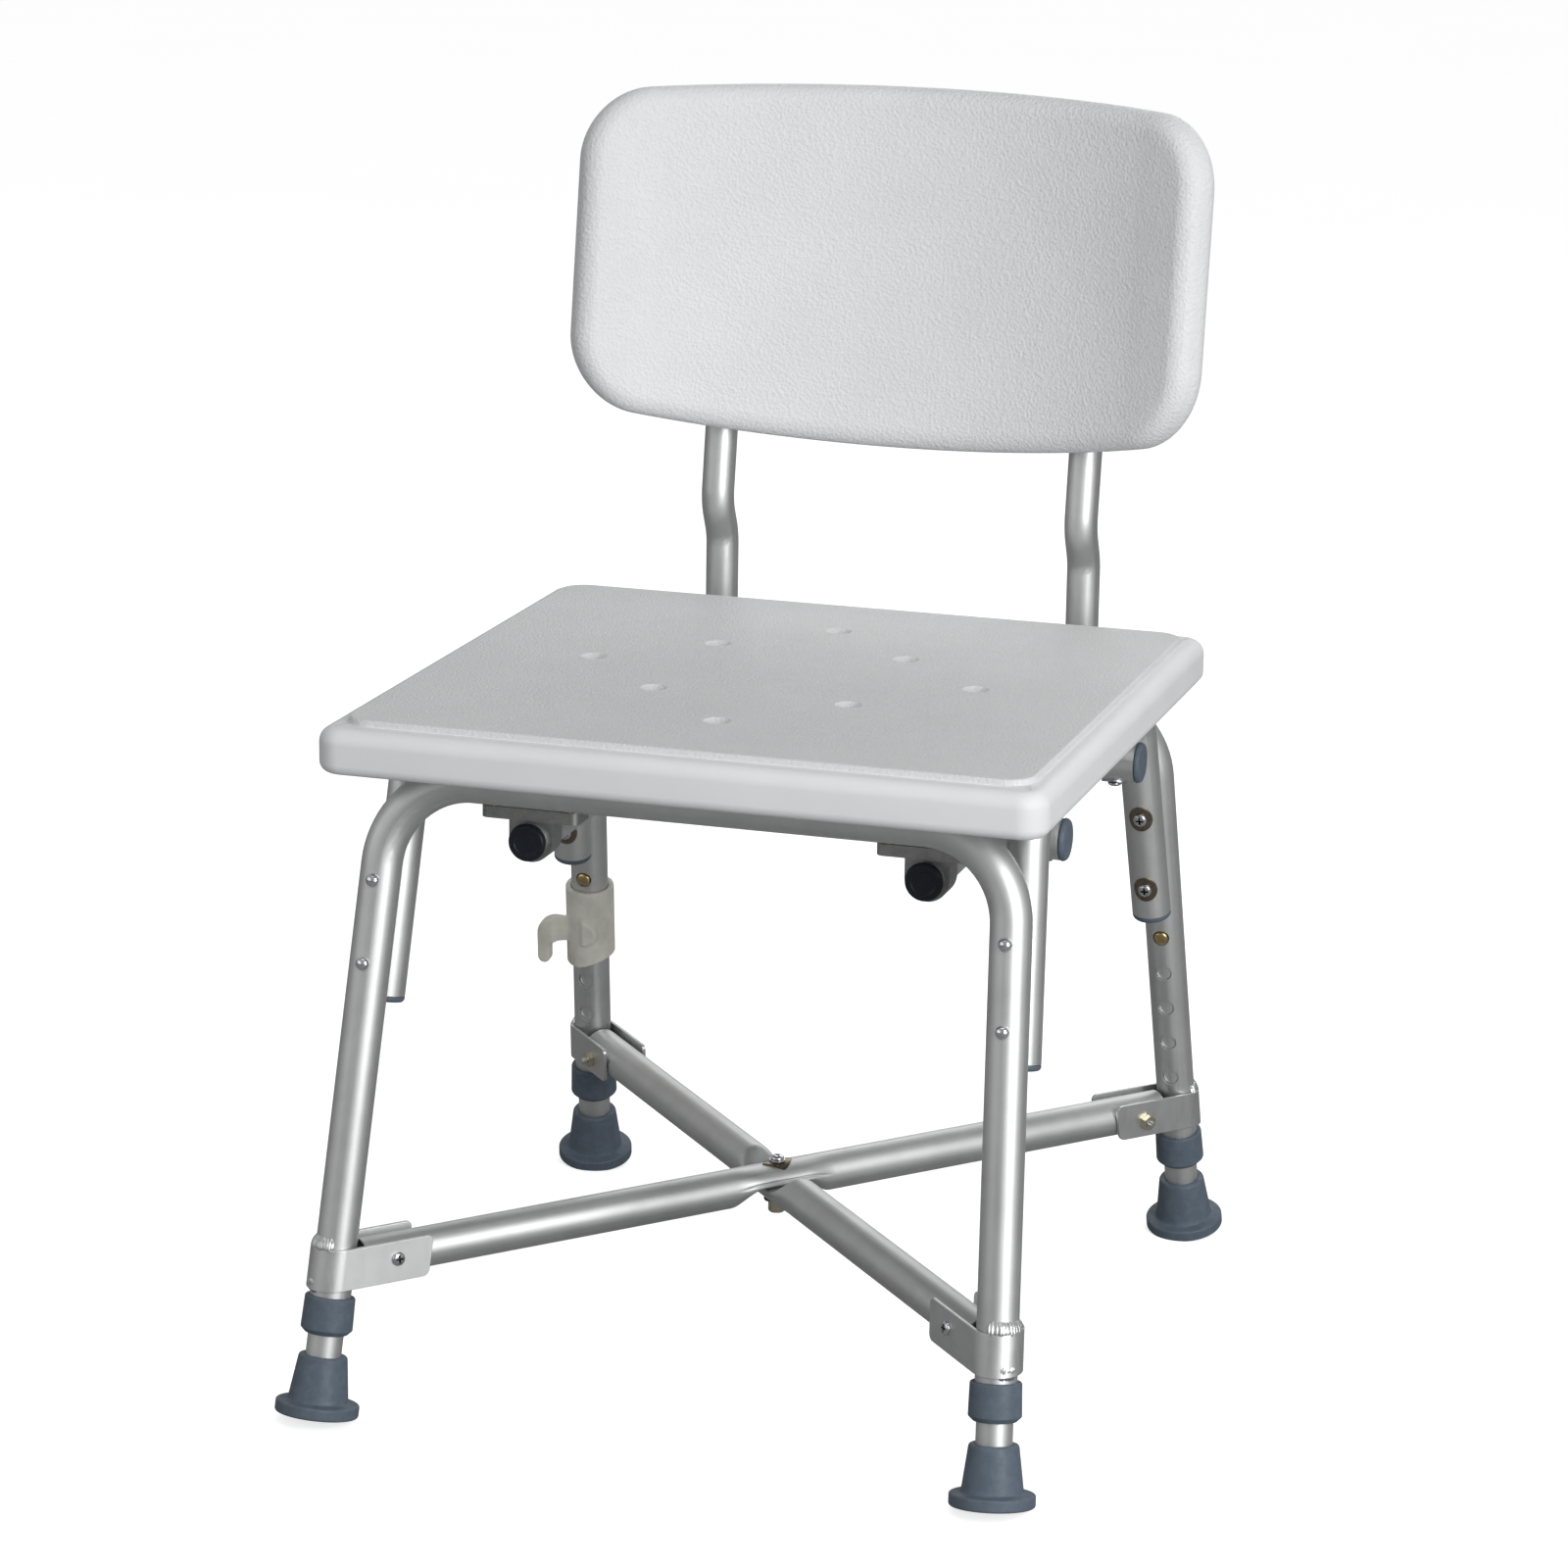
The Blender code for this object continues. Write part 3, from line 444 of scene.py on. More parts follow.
def modified(mesh, **modifiers):
    """The mesh after modifiers, each given as its kind and its settings."""
    obj = linked("work", mesh)
    for kind, settings in modifiers.items():
        modifier = obj.modifiers.new(kind, kind)
        for key, value in settings.items():
            setattr(modifier, key, value)
    bpy.context.view_layer.update()
    graph = bpy.context.evaluated_depsgraph_get()
    result = bpy.data.meshes.new_from_object(obj.evaluated_get(graph))
    bpy.data.objects.remove(obj)
    return result


def carved(mesh, *cutters, operation="DIFFERENCE"):
    """The mesh after a Boolean with each cutter mesh."""
    for cutter in cutters:
        other = linked("cutter", cutter)
        mesh = modified(mesh, BOOLEAN={"operation": operation, "solver": "EXACT", "object": other})
        bpy.data.objects.remove(other)
    return mesh


def rounded(mesh, width, segments=3, angle=35):
    """The mesh with its sharp edges bevelled."""
    limit = {"limit_method": "ANGLE", "angle_limit": radians(angle)}
    return modified(mesh, BEVEL={"width": width, "segments": segments, **limit})


def along(start, end):
    direction = Vector(end) - Vector(start)
    return Matrix.Translation(start) @ direction.to_track_quat("Z", "Y").to_matrix().to_4x4()


def soft(points, radius, steps=3, closed=False):
    """The same outline with each corner rounded."""
    points = [Vector(point) for point in points]
    result = []
    for i, corner in enumerate(points):
        if not closed and i in (0, len(points) - 1):
            result.append(corner)
            continue
        before = points[i - 1] - corner
        after = points[(i + 1) % len(points)] - corner
        reach = min(radius, before.length * 0.45, after.length * 0.45)
        start = corner + before.normalized() * reach
        end = corner + after.normalized() * reach
        for step in range(steps + 1):
            t = step / steps
            result.append(start * (1 - t) ** 2 + corner * 2 * t * (1 - t) + end * t * t)
    return result


def turned(profile, steps=SIDES, ring=False):
    bm = bmesh.new()
    points = [bm.verts.new((point[0], 0.0, point[1])) for point in profile]
    pairs = list(zip(points, points[1:]))
    if ring:
        pairs.append((points[-1], points[0]))
    edges = [bm.edges.new(pair) for pair in pairs]
    spun = {"cent": (0, 0, 0), "axis": (0, 0, 1), "angle": 2 * pi, "steps": steps}
    bmesh.ops.spin(bm, geom=points + edges, **spun)
    bmesh.ops.remove_doubles(bm, verts=bm.verts, dist=1e-6)
    return mesh_from(bm)


def block(low, high, corner=0.0, steps=8):
    """Box between two points, with its upright edges rounded."""
    bm = bmesh.new()
    low, high = Vector(low), Vector(high)
    size = high - low
    matrix = Matrix.Translation((low + high) / 2) @ Matrix.Diagonal((*size, 1))
    bmesh.ops.create_cube(bm, size=1, matrix=matrix)
    if corner:
        upright = [e for e in bm.edges if abs(e.verts[0].co.z - e.verts[1].co.z) > size.z / 2]
        bevelled(bm, upright, corner, steps)
    return mesh_from(bm)


def rod(start, end, radius, sides=SIDES):
    length = (Vector(end) - Vector(start)).length
    return moved(turned([(0, 0), (radius, 0), (radius, length), (0, length)], sides), along(start, end))


def rounded_path(points, radius, steps=14):
    points = [Vector(point) for point in points]
    path = [points[0]]
    for before, corner, after in zip(points, points[1:], points[2:]):
        into = (before - corner).normalized()
        out = (after - corner).normalized()
        half = into.angle(out) / 2
        reach = radius / math.tan(half)
        centre = corner + (into + out).normalized() * radius / sin(half)
        first = corner + into * reach - centre
        turn = pi - 2 * half
        axis = into.cross(out).normalized()
        for step in range(steps + 1):
            path.append(centre + Matrix.Rotation(-turn * step / steps, 3, axis) @ first)
    path.append(points[-1])
    return path


def path_frames(path):
    """(point, side, side) along a path, without twist."""
    ways = [(b - a).normalized() for a, b in zip(path, path[1:])]
    tangents = [ways[0]] + [(a + b).normalized() for a, b in zip(ways, ways[1:])] + [ways[-1]]
    side = tangents[0].orthogonal().normalized()
    frames = []
    for i, tangent in enumerate(tangents):
        if i:
            side = tangents[i - 1].rotation_difference(tangent) @ side
        side = (side - tangent * side.dot(tangent)).normalized()
        frames.append((path[i], side, tangent.cross(side)))
    return frames


def dense(path, spacing=0.02):
    """The same path with its long straight stretches divided."""
    result = [path[0]]
    for start, end in zip(path, path[1:]):
        parts = max(1, round((end - start).length / spacing))
        result += [start.lerp(end, k / parts) for k in range(1, parts + 1)]
    return result


def hollow_tube(path, radius, bore):
    bm = bmesh.new()
    frames = path_frames(dense(path))

    def skin(reach):
        return [[bm.verts.new(centre + u * x + v * y) for x, y in circle(reach)] for centre, u, v in frames]

    return shell_from(bm, skin(radius), skin(bore))


def nearest(path, points):
    """For each point: the nearest point of the path, how far along that is, and its segment."""
    starts = np.array([tuple(p) for p in path[:-1]])
    steps = np.array([tuple(p) for p in path[1:]]) - starts
    lengths = np.linalg.norm(steps, axis=1)
    before = np.concatenate([[0], np.cumsum(lengths)[:-1]])
    offset = points[:, None, :] - starts[None]
    share = np.clip((offset * steps).sum(2) / lengths**2, 0, 1)
    spots = starts + share[..., None] * steps
    best = np.linalg.norm(points[:, None, :] - spots, axis=2).argmin(1)
    rows = np.arange(len(points))
    return spots[rows, best], before[best] + share[rows, best] * lengths[best], best


def points_of(mesh):
    points = np.empty(len(mesh.vertices) * 3)
    mesh.vertices.foreach_get("co", points)
    return points.reshape(-1, 3)


def store_grain(mesh, grain=None):
    """Coordinates for the drawn finish: the given ones, or straight ones for a sheet part."""
    grain = points_of(mesh) if grain is None else grain
    attribute = mesh.attributes.new("grain", "FLOAT_VECTOR", "POINT")
    attribute.data.foreach_set("vector", grain.astype(np.float32).ravel())
    return mesh


def add_grain(mesh, path, smooth_normals=True):
    """Tube coordinates for the drawn finish, and normals that stay round beside drilled holes."""
    points = points_of(mesh)
    spots, distance, segment = nearest(path, points)
    radial = points - spots
    frames = path_frames(path)
    u = np.array([tuple(f[1]) for f in frames])[segment]
    v = np.array([tuple(f[2]) for f in frames])[segment]
    store_grain(mesh, np.stack([(radial * u).sum(1), (radial * v).sum(1), distance], 1))
    mesh.shade_smooth()
    if not smooth_normals:
        return mesh
    unit = radial / np.maximum(np.linalg.norm(radial, axis=1), 1e-9)[:, None]
    normals = np.empty((len(mesh.loops), 3))
    for face in mesh.polygons:
        normal = np.array(face.normal)
        for loop in face.loop_indices:
            out = unit[mesh.loops[loop].vertex_index]
            lean = float(out @ normal)
            normals[loop] = out if lean > 0.8 else -out if lean < -0.8 else normal
    mesh.normals_split_custom_set([tuple(n) for n in normals])
    return mesh


def piece(node, part, mesh, material, body="frame", angle=40, name="", round_normals=False, added=False):
    """A finished piece on a body. It stands for its CAD node, or is a detail added to it."""
    if not round_normals:
        mesh.shade_smooth()
        mesh.set_sharp_from_angle(angle=radians(angle))
    obj = linked(name or f"{node}_{part}", mesh)
    for one in material if isinstance(material, tuple) else (material,):
        mesh.materials.append(one)
    if not round_normals:
        modifier = obj.modifiers.new("normals", "WEIGHTED_NORMAL")
        modifier.keep_sharp = True
    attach(obj, body)
    if not added:
        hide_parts(node)
    return obj


def detail(node, part, mesh, material, angle=40):
    """A small piece added on the frame, with the finish given to it."""
    piece(node, part, mesh, material, angle=angle, added=True)


def tube_piece(node, path, radius, bore, *cutters, body="frame"):
    mesh = carved(hollow_tube(path, radius, bore), *cutters)
    piece(node, "tube", add_grain(mesh, path), ALUMINIUM, body, round_normals=True)


# Hardware


def cross_head(radius, height, recess=0.12):
    """Pan head with a cross recess: its seat at 0, its top at height."""
    rim = [(radius * 0.62, height * 0.97), (radius * 0.93, height * 0.60), (radius, 0.0)]
    head = turned(soft([(0, height), *rim, (0, 0)], radius * 0.25, 4), 32)
    arm, slim, deep = radius * 0.64, radius * 0.15, height * recess
    top = height + 0.0004
    arms = []
    for x, y in ((arm, slim), (slim, arm)):
        bm = bmesh.new()
        bmesh.ops.create_cube(bm, size=1, matrix=Matrix.Diagonal((2 * x, 2 * y, top - deep, 1)))
        for vert in bm.verts:
            if vert.co.z < 0:
                vert.co.x *= 0.5
                vert.co.y *= 0.6
            vert.co.z += (top + deep) / 2
        arms.append(mesh_from(bm))
    head = carved(head, *arms)
    # Faces inside the cross recess take the second material, a near-black painted shade for the recess.
    for face in head.polygons:
        x, y, z = face.center
        face.material_index = int(math.hypot(x, y) < arm and 0.0001 < z < height * 0.9)
    return head


def dome_head(radius, height, lip=0.0002):
    profile = arc(0, 0, radius, 90, -90, 8, height)
    return turned(profile + [(radius * 0.96, -lip), (0, -lip)], 32)


def hexagon(width, height):
    """Nut or hexagon head across flats 2 * width, with chamfered corners."""
    outline = arc(0, 0, width / cos(pi / 6), 30, 300, 5)
    nut = mesh_from(prism([(x, y, 0) for x, y in outline], (0, 0, height)))
    reach, over = width * 1.16, 0.001
    low = [(0, -over), (reach - over, -over), (reach, height * 0.15)]
    high = [(reach, height * 0.85), (reach - over, height + over), (0, height + over)]
    nut = carved(nut, turned(low + high, 36), operation="INTERSECT")
    return rounded(nut, 0.00015, 2, 25)


def threaded_end(radius, length, pitch=0.0008):
    """Bolt end with turned ridges and a chamfered tip, from 0 to length."""
    profile = [(0, 0), (radius * 0.9, 0)]
    turns = int(length / pitch) - 1
    for k in range(turns):
        profile += [(radius * 0.9, k * pitch + pitch * 0.2), (radius, k * pitch + pitch * 0.6)]
    profile += [(radius * 0.9, turns * pitch + pitch * 0.3), (radius * 0.7, length), (0, length)]
    return turned(profile, 24)


def saddle_washer(radius, thick, bend, square=False):
    """Plate bent over a tube of radius bend whose axis is along X; its top is at thick."""
    rings, sides = 8, 40
    bm = bmesh.new()

    def spot(reach, k, height):
        angle = 2 * pi * k / sides
        if square:
            corner = angle + pi / 4
            reach = reach / max(abs(cos(corner)), abs(sin(corner))) ** 0.75 * 0.86
        turn = reach * sin(angle) / (bend + thick)
        lift = bend + height
        return bm.verts.new((reach * cos(angle), lift * sin(turn), lift * cos(turn) - bend))

    reaches = [radius * ring / rings for ring in range(2, rings + 1)]
    low, high = ([[spot(reach, k, z) for k in range(sides)] for reach in reaches] for z in (0.0, thick))
    return rounded(shell_from(bm, low, high), thick * 0.25, 2, 50)


PAN = cross_head(0.0046, 0.0024)
SMALL_PAN = cross_head(0.0040, 0.0022)
DOME = dome_head(0.0044, 0.0036)
NUT = hexagon(0.0046, NUT_HEIGHT)
CAP_NUT = hexagon(0.0048, 0.0080)
RING = turned(soft([(0, 0), (0.0052, 0), (0.0052, 0.0014), (0, 0.0014)], 0.0003), 32)
WASHER = turned(soft([(0, 0), (0.0039, 0), (0.0039, 0.0008), (0, 0.0008)], 0.0002), 32)
BOLT_END = threaded_end(0.0024, 0.0036)
ROUND_SADDLE = saddle_washer(0.0085, 0.0012, TUBE + FIT)
SQUARE_SADDLE = saddle_washer(0.0100, 0.0014, TUBE + FIT, True)


def frame_of(x, y, z, place=(0, 0, 0)):
    """Matrix with those axes at that place."""
    return Matrix.Translation(place) @ Matrix((x, y, z)).transposed().to_4x4()


def set_on(mesh, place, out, tube_way):
    """The mesh at place, with its Z out of the surface and its X along the tube."""
    z = Vector(out).normalized()
    x = Vector(tube_way)
    x = (x - z * x.dot(z)).normalized()
    return moved(mesh, frame_of(x, z.cross(x), z, place))


# Legs


def leg_point(corner, z):
    side, leg_y, _ = CORNERS[corner]
    share = z / LEG_TOP_Z
    x = side * (LEG_FOOT_X + (LEG_TOP_X - LEG_FOOT_X) * share)
    return Vector((x, leg_y[0] + (leg_y[1] - leg_y[0]) * share, z))


def leg_up(corner):
    return (leg_point(corner, LEG_TOP_Z) - leg_point(corner, 0)).normalized()


def leg_inward(corner):
    up = leg_up(corner)
    inward = Vector((0, CORNERS[corner][2], 0))
    return (inward - up * inward.dot(up)).normalized()


def leg_matrix(corner, z, climb=0.0):
    up = leg_up(corner)
    inward = leg_inward(corner)
    return frame_of(inward, up.cross(inward), up, leg_point(corner, z) + up * climb)


def drill(corner, drop, radius):
    """Cutter for the inner side of a leg, so far down from its top hole."""
    inward = leg_inward(corner)
    place = leg_point(corner, HOLE_TOP_Z) - leg_up(corner) * drop
    return rod(place + inward * DRILL_REACH[0], place + inward * DRILL_REACH[1], radius, 28)


def dress_leg_frame(node, left, right):
    ends = [leg_point(left, LEG_END_Z), leg_point(right, LEG_END_Z)]
    tops = [leg_point(left, LEG_TOP_Z), leg_point(right, LEG_TOP_Z)]
    path = rounded_path([ends[0], tops[0], tops[1], ends[1]], LEG_BEND, 20)
    drops = [HOLE_PITCH * i for i in range(HOLE_COUNT)]
    drills = [drill(corner, drop, HOLE_RADIUS) for corner in (left, right) for drop in drops]
    tube_piece(node, path, TUBE, TUBE_BORE, joined(*drills))


def side_path(front, rear):
    side = CORNERS[front][0]
    ends, tops = [], []
    for corner, top_x in zip((front, rear), SIDE_TOP_X):
        end = leg_point(corner, SIDE_END_Z) + leg_inward(corner) * SIDE_OFFSET
        up = leg_up(corner)
        top = end + up * (SIDE_TOP_Z - end.z) / up.z
        ends.append(end)
        tops.append(Vector((side * top_x, top.y, SIDE_TOP_Z)))
    return rounded_path([ends[0], tops[0], tops[1], ends[1]], SIDE_BEND, 14)


def plug(radius, cap=0.004):
    """End plug for a leg-size tube: a soft-edged cap, and its stem inside the tube."""
    stem, length = TUBE_BORE - GAP, 0.012
    profile = [(0, -cap), (radius * 0.90, -cap), (radius, -cap * 0.55), (radius, -GAP)]
    profile += [(stem, -GAP), (stem, length), (0, length)]
    return turned(soft(profile, 0.0012, 4))


def dress_side_frame(node, front, rear):
    path = side_path(front, rear)
    tube_piece(node, path, TUBE, TUBE_BORE)
    for corner, end, inside in ((front, path[0], path[1]), (rear, path[-1], path[-2])):
        piece(f"side_plug_{corner}", "cap", moved(plug(TUBE), along(end, inside)), RUBBER)


def dress_frame_bolt(corner, label, z):
    """Dome head outside the leg, spacer between the tubes, and a screw head on a saddle washer."""
    inward = leg_inward(corner)
    up = leg_up(corner)
    axis = leg_point(corner, z)
    outside = axis - inward * TUBE
    inside = axis + inward * (SIDE_OFFSET + TUBE)
    node = f"frame_bolt_{corner}_{label}"
    shank = rod(outside + inward * 0.0005, inside, BOLT_RADIUS, 20)
    head = set_on(PAN, inside + inward * SADDLE_LIFT, inward, up)
    piece(node, "screw", joined(shank, head), SCREW)
    detail(node, "dome", set_on(DOME, outside, -inward, up), CHROME)
    detail(node, "washer", set_on(ROUND_SADDLE, inside, inward, up), BRONZE)
    bore, sunk = BOLT_RADIUS + GAP, 0.0010
    low, high = TUBE - sunk, SIDE_OFFSET - TUBE + sunk
    ring = [(bore, low), (SPACER_RADIUS, low), (SPACER_RADIUS, high), (bore, high)]
    spacer = set_on(turned(soft(ring, 0.0005, 3, True), 32, True), axis, inward, up)
    tubes = []
    for centre in (axis, axis + inward * SIDE_OFFSET):
        tubes.append(rod(centre - up * 0.02, centre + up * 0.02, TUBE + FIT, 64))
    detail(node, "spacer", carved(spacer, *tubes), CAST)


def dress_extension(corner):
    start = leg_point(corner, 0) + leg_up(corner) * FOOT_FLOOR
    end = leg_point(corner, HOLE_TOP_Z) + leg_up(corner) * EXTENSION_ABOVE_BUTTON
    hole = drill(corner, 0, BUTTON_RADIUS + 0.0002)
    node = f"leg_extension_{corner}"
    tube_piece(node, [start, end], SLIM, SLIM_BORE, hole, body=f"extension_{corner}")


def dress_button(corner):
    """Flange inside the extension, pin through both tubes and a domed end."""
    inward = leg_inward(corner)
    place = leg_point(corner, HOLE_TOP_Z)
    flange = BUTTON_RADIUS + 0.0016
    seat = math.sqrt(SLIM_BORE**2 - flange**2) - GAP
    top, dome = SLIM + BUTTON_PROUD, 0.0019
    profile = [(0, seat - 0.0012), (flange, seat - 0.0012), (flange, seat), (BUTTON_RADIUS, seat)]
    for step in range(8):
        angle = pi / 2 * step / 8
        profile.append((BUTTON_RADIUS * cos(angle) ** 0.7, top - dome + dome * sin(angle)))
    mesh = moved(turned(profile + [(0, top)], 32), along(place, place + inward))
    piece(f"height_button_{corner}", "dome", mesh, BRASS, f"button_{corner}")


def dress_collar(corner):
    outer, inner = TUBE + FIT, SLIM + FIT
    profile = [(inner, 0), (COLLAR_RADIUS - 0.0030, 0), (COLLAR_RADIUS, 0.0030)]
    profile += [(COLLAR_RADIUS - 0.0005, COLLAR_HEIGHT - 0.0009), (COLLAR_RADIUS - 0.0013, COLLAR_HEIGHT)]
    profile += [(outer, COLLAR_HEIGHT), (outer, COLLAR_LIP), (inner, COLLAR_LIP)]
    mesh = turned(soft(profile, 0.0005, 3, True), SIDES, True)
    place = leg_matrix(corner, LEG_END_Z, -COLLAR_LIP - GAP)
    piece(f"leg_collar_{corner}", "ring", moved(mesh, place), RUBBER)


def dress_foot(corner):
    """Flared rubber foot with a wide flange, cut level where it meets the floor."""
    bore = SLIM + FIT
    flange = [(0, 0), (0.0252, 0), (0.0259, 0.0010), (0.0259, 0.0068), (0.0252, 0.0076)]
    neck = [(0.0204, 0.0083), (0.0190, 0.0088), (0.0184, 0.0112), (0.0170, 0.0220)]
    profile = [(radius, FOOT_SOLE + z) for radius, z in flange + neck]
    profile += [(0.0152, FOOT_HEIGHT - 0.0012), (0.0144, FOOT_HEIGHT), (bore, FOOT_HEIGHT)]
    profile += [(bore, FOOT_FLOOR - GAP), (0, FOOT_FLOOR - GAP)]
    mesh = moved(turned(soft(profile, 0.0005, 4), 64), leg_matrix(corner, 0))
    ground = leg_point(corner, 0)
    floor = block(ground - Vector((0.05, 0.05, 0.03)), ground + Vector((0.05, 0.05, 0.0)))
    piece(f"foot_{corner}", "rubber", carved(mesh, floor), RUBBER, f"extension_{corner}")


# Seat


def rounded_rectangle(half_x, half_y, corner):
    points = []
    for cx, cy, start in ((1, 1, 0), (-1, 1, 90), (-1, -1, 180), (1, -1, 270)):
        points += arc(cx * (half_x - corner), cy * (half_y - corner), corner, start, 90, 12)
    return points


def seat_section():
    """(share of the way from rim to panel, inset, height) up the seat's edge."""
    high, low = SEAT_ROUND
    rows = [(0, 0.0120, SEAT_BOTTOM)]
    sides = arc(low, SEAT_BOTTOM + low, low, 270, -90, 8) + arc(high, RIM_TOP - high, high, 180, -90, 8)
    rows += [(0, inset, z) for inset, z in sides]
    rise = PANEL_TOP - RIM_TOP
    for share, lift in ((0.93, 0.0), (0.965, 0.03), (0.985, 0.12), (1.0, 0.32)):
        rows.append((share, 0, RIM_TOP + rise * lift))
    edge, drop = 0.0018, rise * 0.45
    rows += [(1, inset, z) for inset, z in arc(edge, PANEL_TOP - drop, edge, 180, -90, 5, drop)[1:]]
    return rows


def seat_body():
    bm = bmesh.new()
    loops = []
    for share, inset, z in seat_section():
        half = [a + (b - a) * share - inset for a, b in zip(SEAT_HALF, PANEL_HALF)]
        corner = max(RIM_CORNER + (PANEL_CORNER - RIM_CORNER) * share - inset, 0.004)
        outline = rounded_rectangle(*half, corner)
        loops.append([bm.verts.new((x, SEAT_Y + y, z)) for x, y in outline])
    return solid_from(bm, loops)


def drain_places():
    places = []
    for turn in range(8):
        angle = turn * pi / 4
        u, v = cos(angle), sin(angle)
        scale = abs(u) + abs(v)
        u, v = u / scale, v / scale
        places.append((u * DRAIN_REACH[0], SEAT_Y + v * DRAIN_REACH[1] + abs(u) * DRAIN_SHIFT))
    return places


def seat_cutters():
    """The space for the frame, the pockets between the ribs, the drains and the rim's notches."""
    half_x, half_y = SEAT_HALF
    low = (SKIRT - half_x, SEAT_Y - half_y + SKIRT, SEAT_BOTTOM - 0.01)
    high = (half_x - SKIRT, SEAT_Y + half_y - SKIRT, SIDE_TOP_Z + TUBE + GAP)
    cutters = [block(low, high, RIM_CORNER - SKIRT, 10)]
    pockets = []
    for left, right in zip(POCKET_LINES_X, POCKET_LINES_X[1:]):
        for front, rear in zip(POCKET_LINES_Y, POCKET_LINES_Y[1:]):
            low = (left + RIB / 2, SEAT_Y + front + RIB / 2, SIDE_TOP_Z)
            high = (right - RIB / 2, SEAT_Y + rear - RIB / 2, PANEL_TOP - DECK)
            pockets.append(block(low, high, 0.004, 5))
    cutters.append(joined(*pockets))
    above = PANEL_TOP + 0.003
    profile = [(0, SEAT_BOTTOM), (DRAIN_RADIUS, SEAT_BOTTOM), (DRAIN_RADIUS, PANEL_TOP - 0.0046)]
    profile += [(DRAIN_RADIUS + 0.0004, PANEL_TOP - 0.0034), (DIMPLE_RADIUS - 0.0018, PANEL_TOP - 0.0014)]
    profile += [(DIMPLE_RADIUS, PANEL_TOP + 0.00001), (DIMPLE_RADIUS, above), (0, above)]
    drain = turned(soft(profile, 0.0012, 4), 40)
    cutters.append(joined(*[moved(drain, Matrix.Translation((x, y, 0))) for x, y in drain_places()]))
    notches = []
    for side in (-1, 1):
        for end in (-1, 1):
            spot = Vector((side * half_x, SEAT_Y + end * (half_y - NOTCH_INSET), SEAT_BOTTOM))
            notches.append(block(spot - NOTCH_REACH, spot + NOTCH_REACH))
    cutters.append(joined(*notches))
    return cutters


def dress_seat():
    mesh = carved(seat_body(), *seat_cutters())
    obj = piece("seat", "shell", mesh, (LIT_RIM, SHADED_PANEL), angle=50)
    # Top panel faces take the darker plastic (painted shade), all other faces the lighter rim plastic
    # (painted light).
    half_x, half_y = (half + 0.0004 for half in PANEL_HALF)
    for face in obj.data.polygons:
        x, y, z = face.center
        inside = abs(x) < half_x and abs(y - SEAT_Y) < half_y
        face.material_index = int(z > RIM_TOP and (inside or face.area > 0.01))


# Back


def post_axis(z):
    return Vector((POST_X, POST_KINK_Y + (z - POST_KINK_Z[1]) * math.tan(BACK_LEAN), z))


def post_path(side):
    corners = [
        Vector((POST_X, POST_FRONT_Y, POST_Z)),
        Vector((POST_X, POST_REAR_Y, POST_Z)),
        Vector((POST_X, POST_REAR_Y, POST_KINK_Z[0])),
        post_axis(POST_KINK_Z[1]),
        post_axis(POST_TOP_Z),
    ]
    elbow = rounded_path(corners[:3], POST_BEND, 20)
    kinks = rounded_path(corners[1:], 0.03, 6)
    start = len(kinks) - 2 * 7 - 1
    path = elbow[:-1] + kinks[start:]
    return [Vector((side * point.x, point.y, point.z)) for point in path]


def dress_post(node, side):
    path = post_path(side)
    tube_piece(node, path, SLIM, SLIM_BORE)
    wide, cap, stem = SLIM + 0.0010, 0.0065, SLIM_BORE - GAP
    profile = [(0, -cap + 0.0006), (wide * 0.60, -cap + 0.0006), (wide * 0.66, -cap), (wide * 0.90, -cap)]
    profile += [(wide, -cap + 0.0016), (wide, -0.0030), (wide - 0.0008, -0.0026), (wide - 0.0008, -GAP)]
    profile += [(stem, -GAP), (stem, 0.012), (0, 0.012)]
    mesh = moved(turned(soft(profile, 0.0006, 3)), along(path[0], path[1]))
    piece(node + "_plug", "cap", mesh, BLACK, name=node + "_cap")


def bracket_casting(x, y, low, high):
    """Cast block with a sleeve for the post and a saddle for the cross tube."""
    reach = Vector((0, BRACKET_SLEEVE_HALF, 0))
    centre = Vector((x, y, POST_Z))
    gusset = block(
        centre - reach - Vector((BRACKET_SLEEVE, 0, 0)),
        Vector((x + BRACKET_SLEEVE, y + BRACKET_SLEEVE_HALF, low[2] + 0.002)),
    )
    sleeve = rod(centre - reach, centre + reach, BRACKET_SLEEVE)
    body = carved(block(low, high, 0.005, 6), gusset, sleeve, operation="UNION")
    saddle = rod((x - 0.05, y, CROSS_Z), (x + 0.05, y, CROSS_Z), TUBE + GAP)
    bore = rod(centre - reach * 2, centre + reach * 2, SLIM + FIT)
    return rounded(carved(body, saddle, bore), 0.0005, 3)


def dress_bracket(node, side, y):
    x = side * POST_X
    half_x, half_y = BRACKET_HALF
    low = (x - half_x, y - half_y, CROSS_Z - TUBE - BRACKET_PLATE)
    high = (x + half_x, y + half_y, CROSS_Z - TUBE * 0.80)
    piece(node, "casting", bracket_casting(x, y, low, high), CAST)
    for label, end in LEFT_RIGHT:
        across = Vector((x + end * (half_x - BRACKET_SCREW_INSET), y, 0))
        under = set_on(SMALL_PAN, across + UP * low[2], -UP, (1, 0, 0))
        detail(node, f"screw_{label}", under, SCREW)
        for spot, edge in (("front", -1), ("rear", 1)):
            place = across + Vector((0, edge * BRACKET_STUD_Y, high[2]))
            top = moved(SMALL_PAN, Matrix.Translation(place + UP * 0.0008) @ Matrix.Scale(0.7, 4))
            detail(node, f"washer_{label}_{spot}", moved(WASHER, Matrix.Translation(place)), BRONZE)
            detail(node, f"stud_{label}_{spot}", top, SCREW)


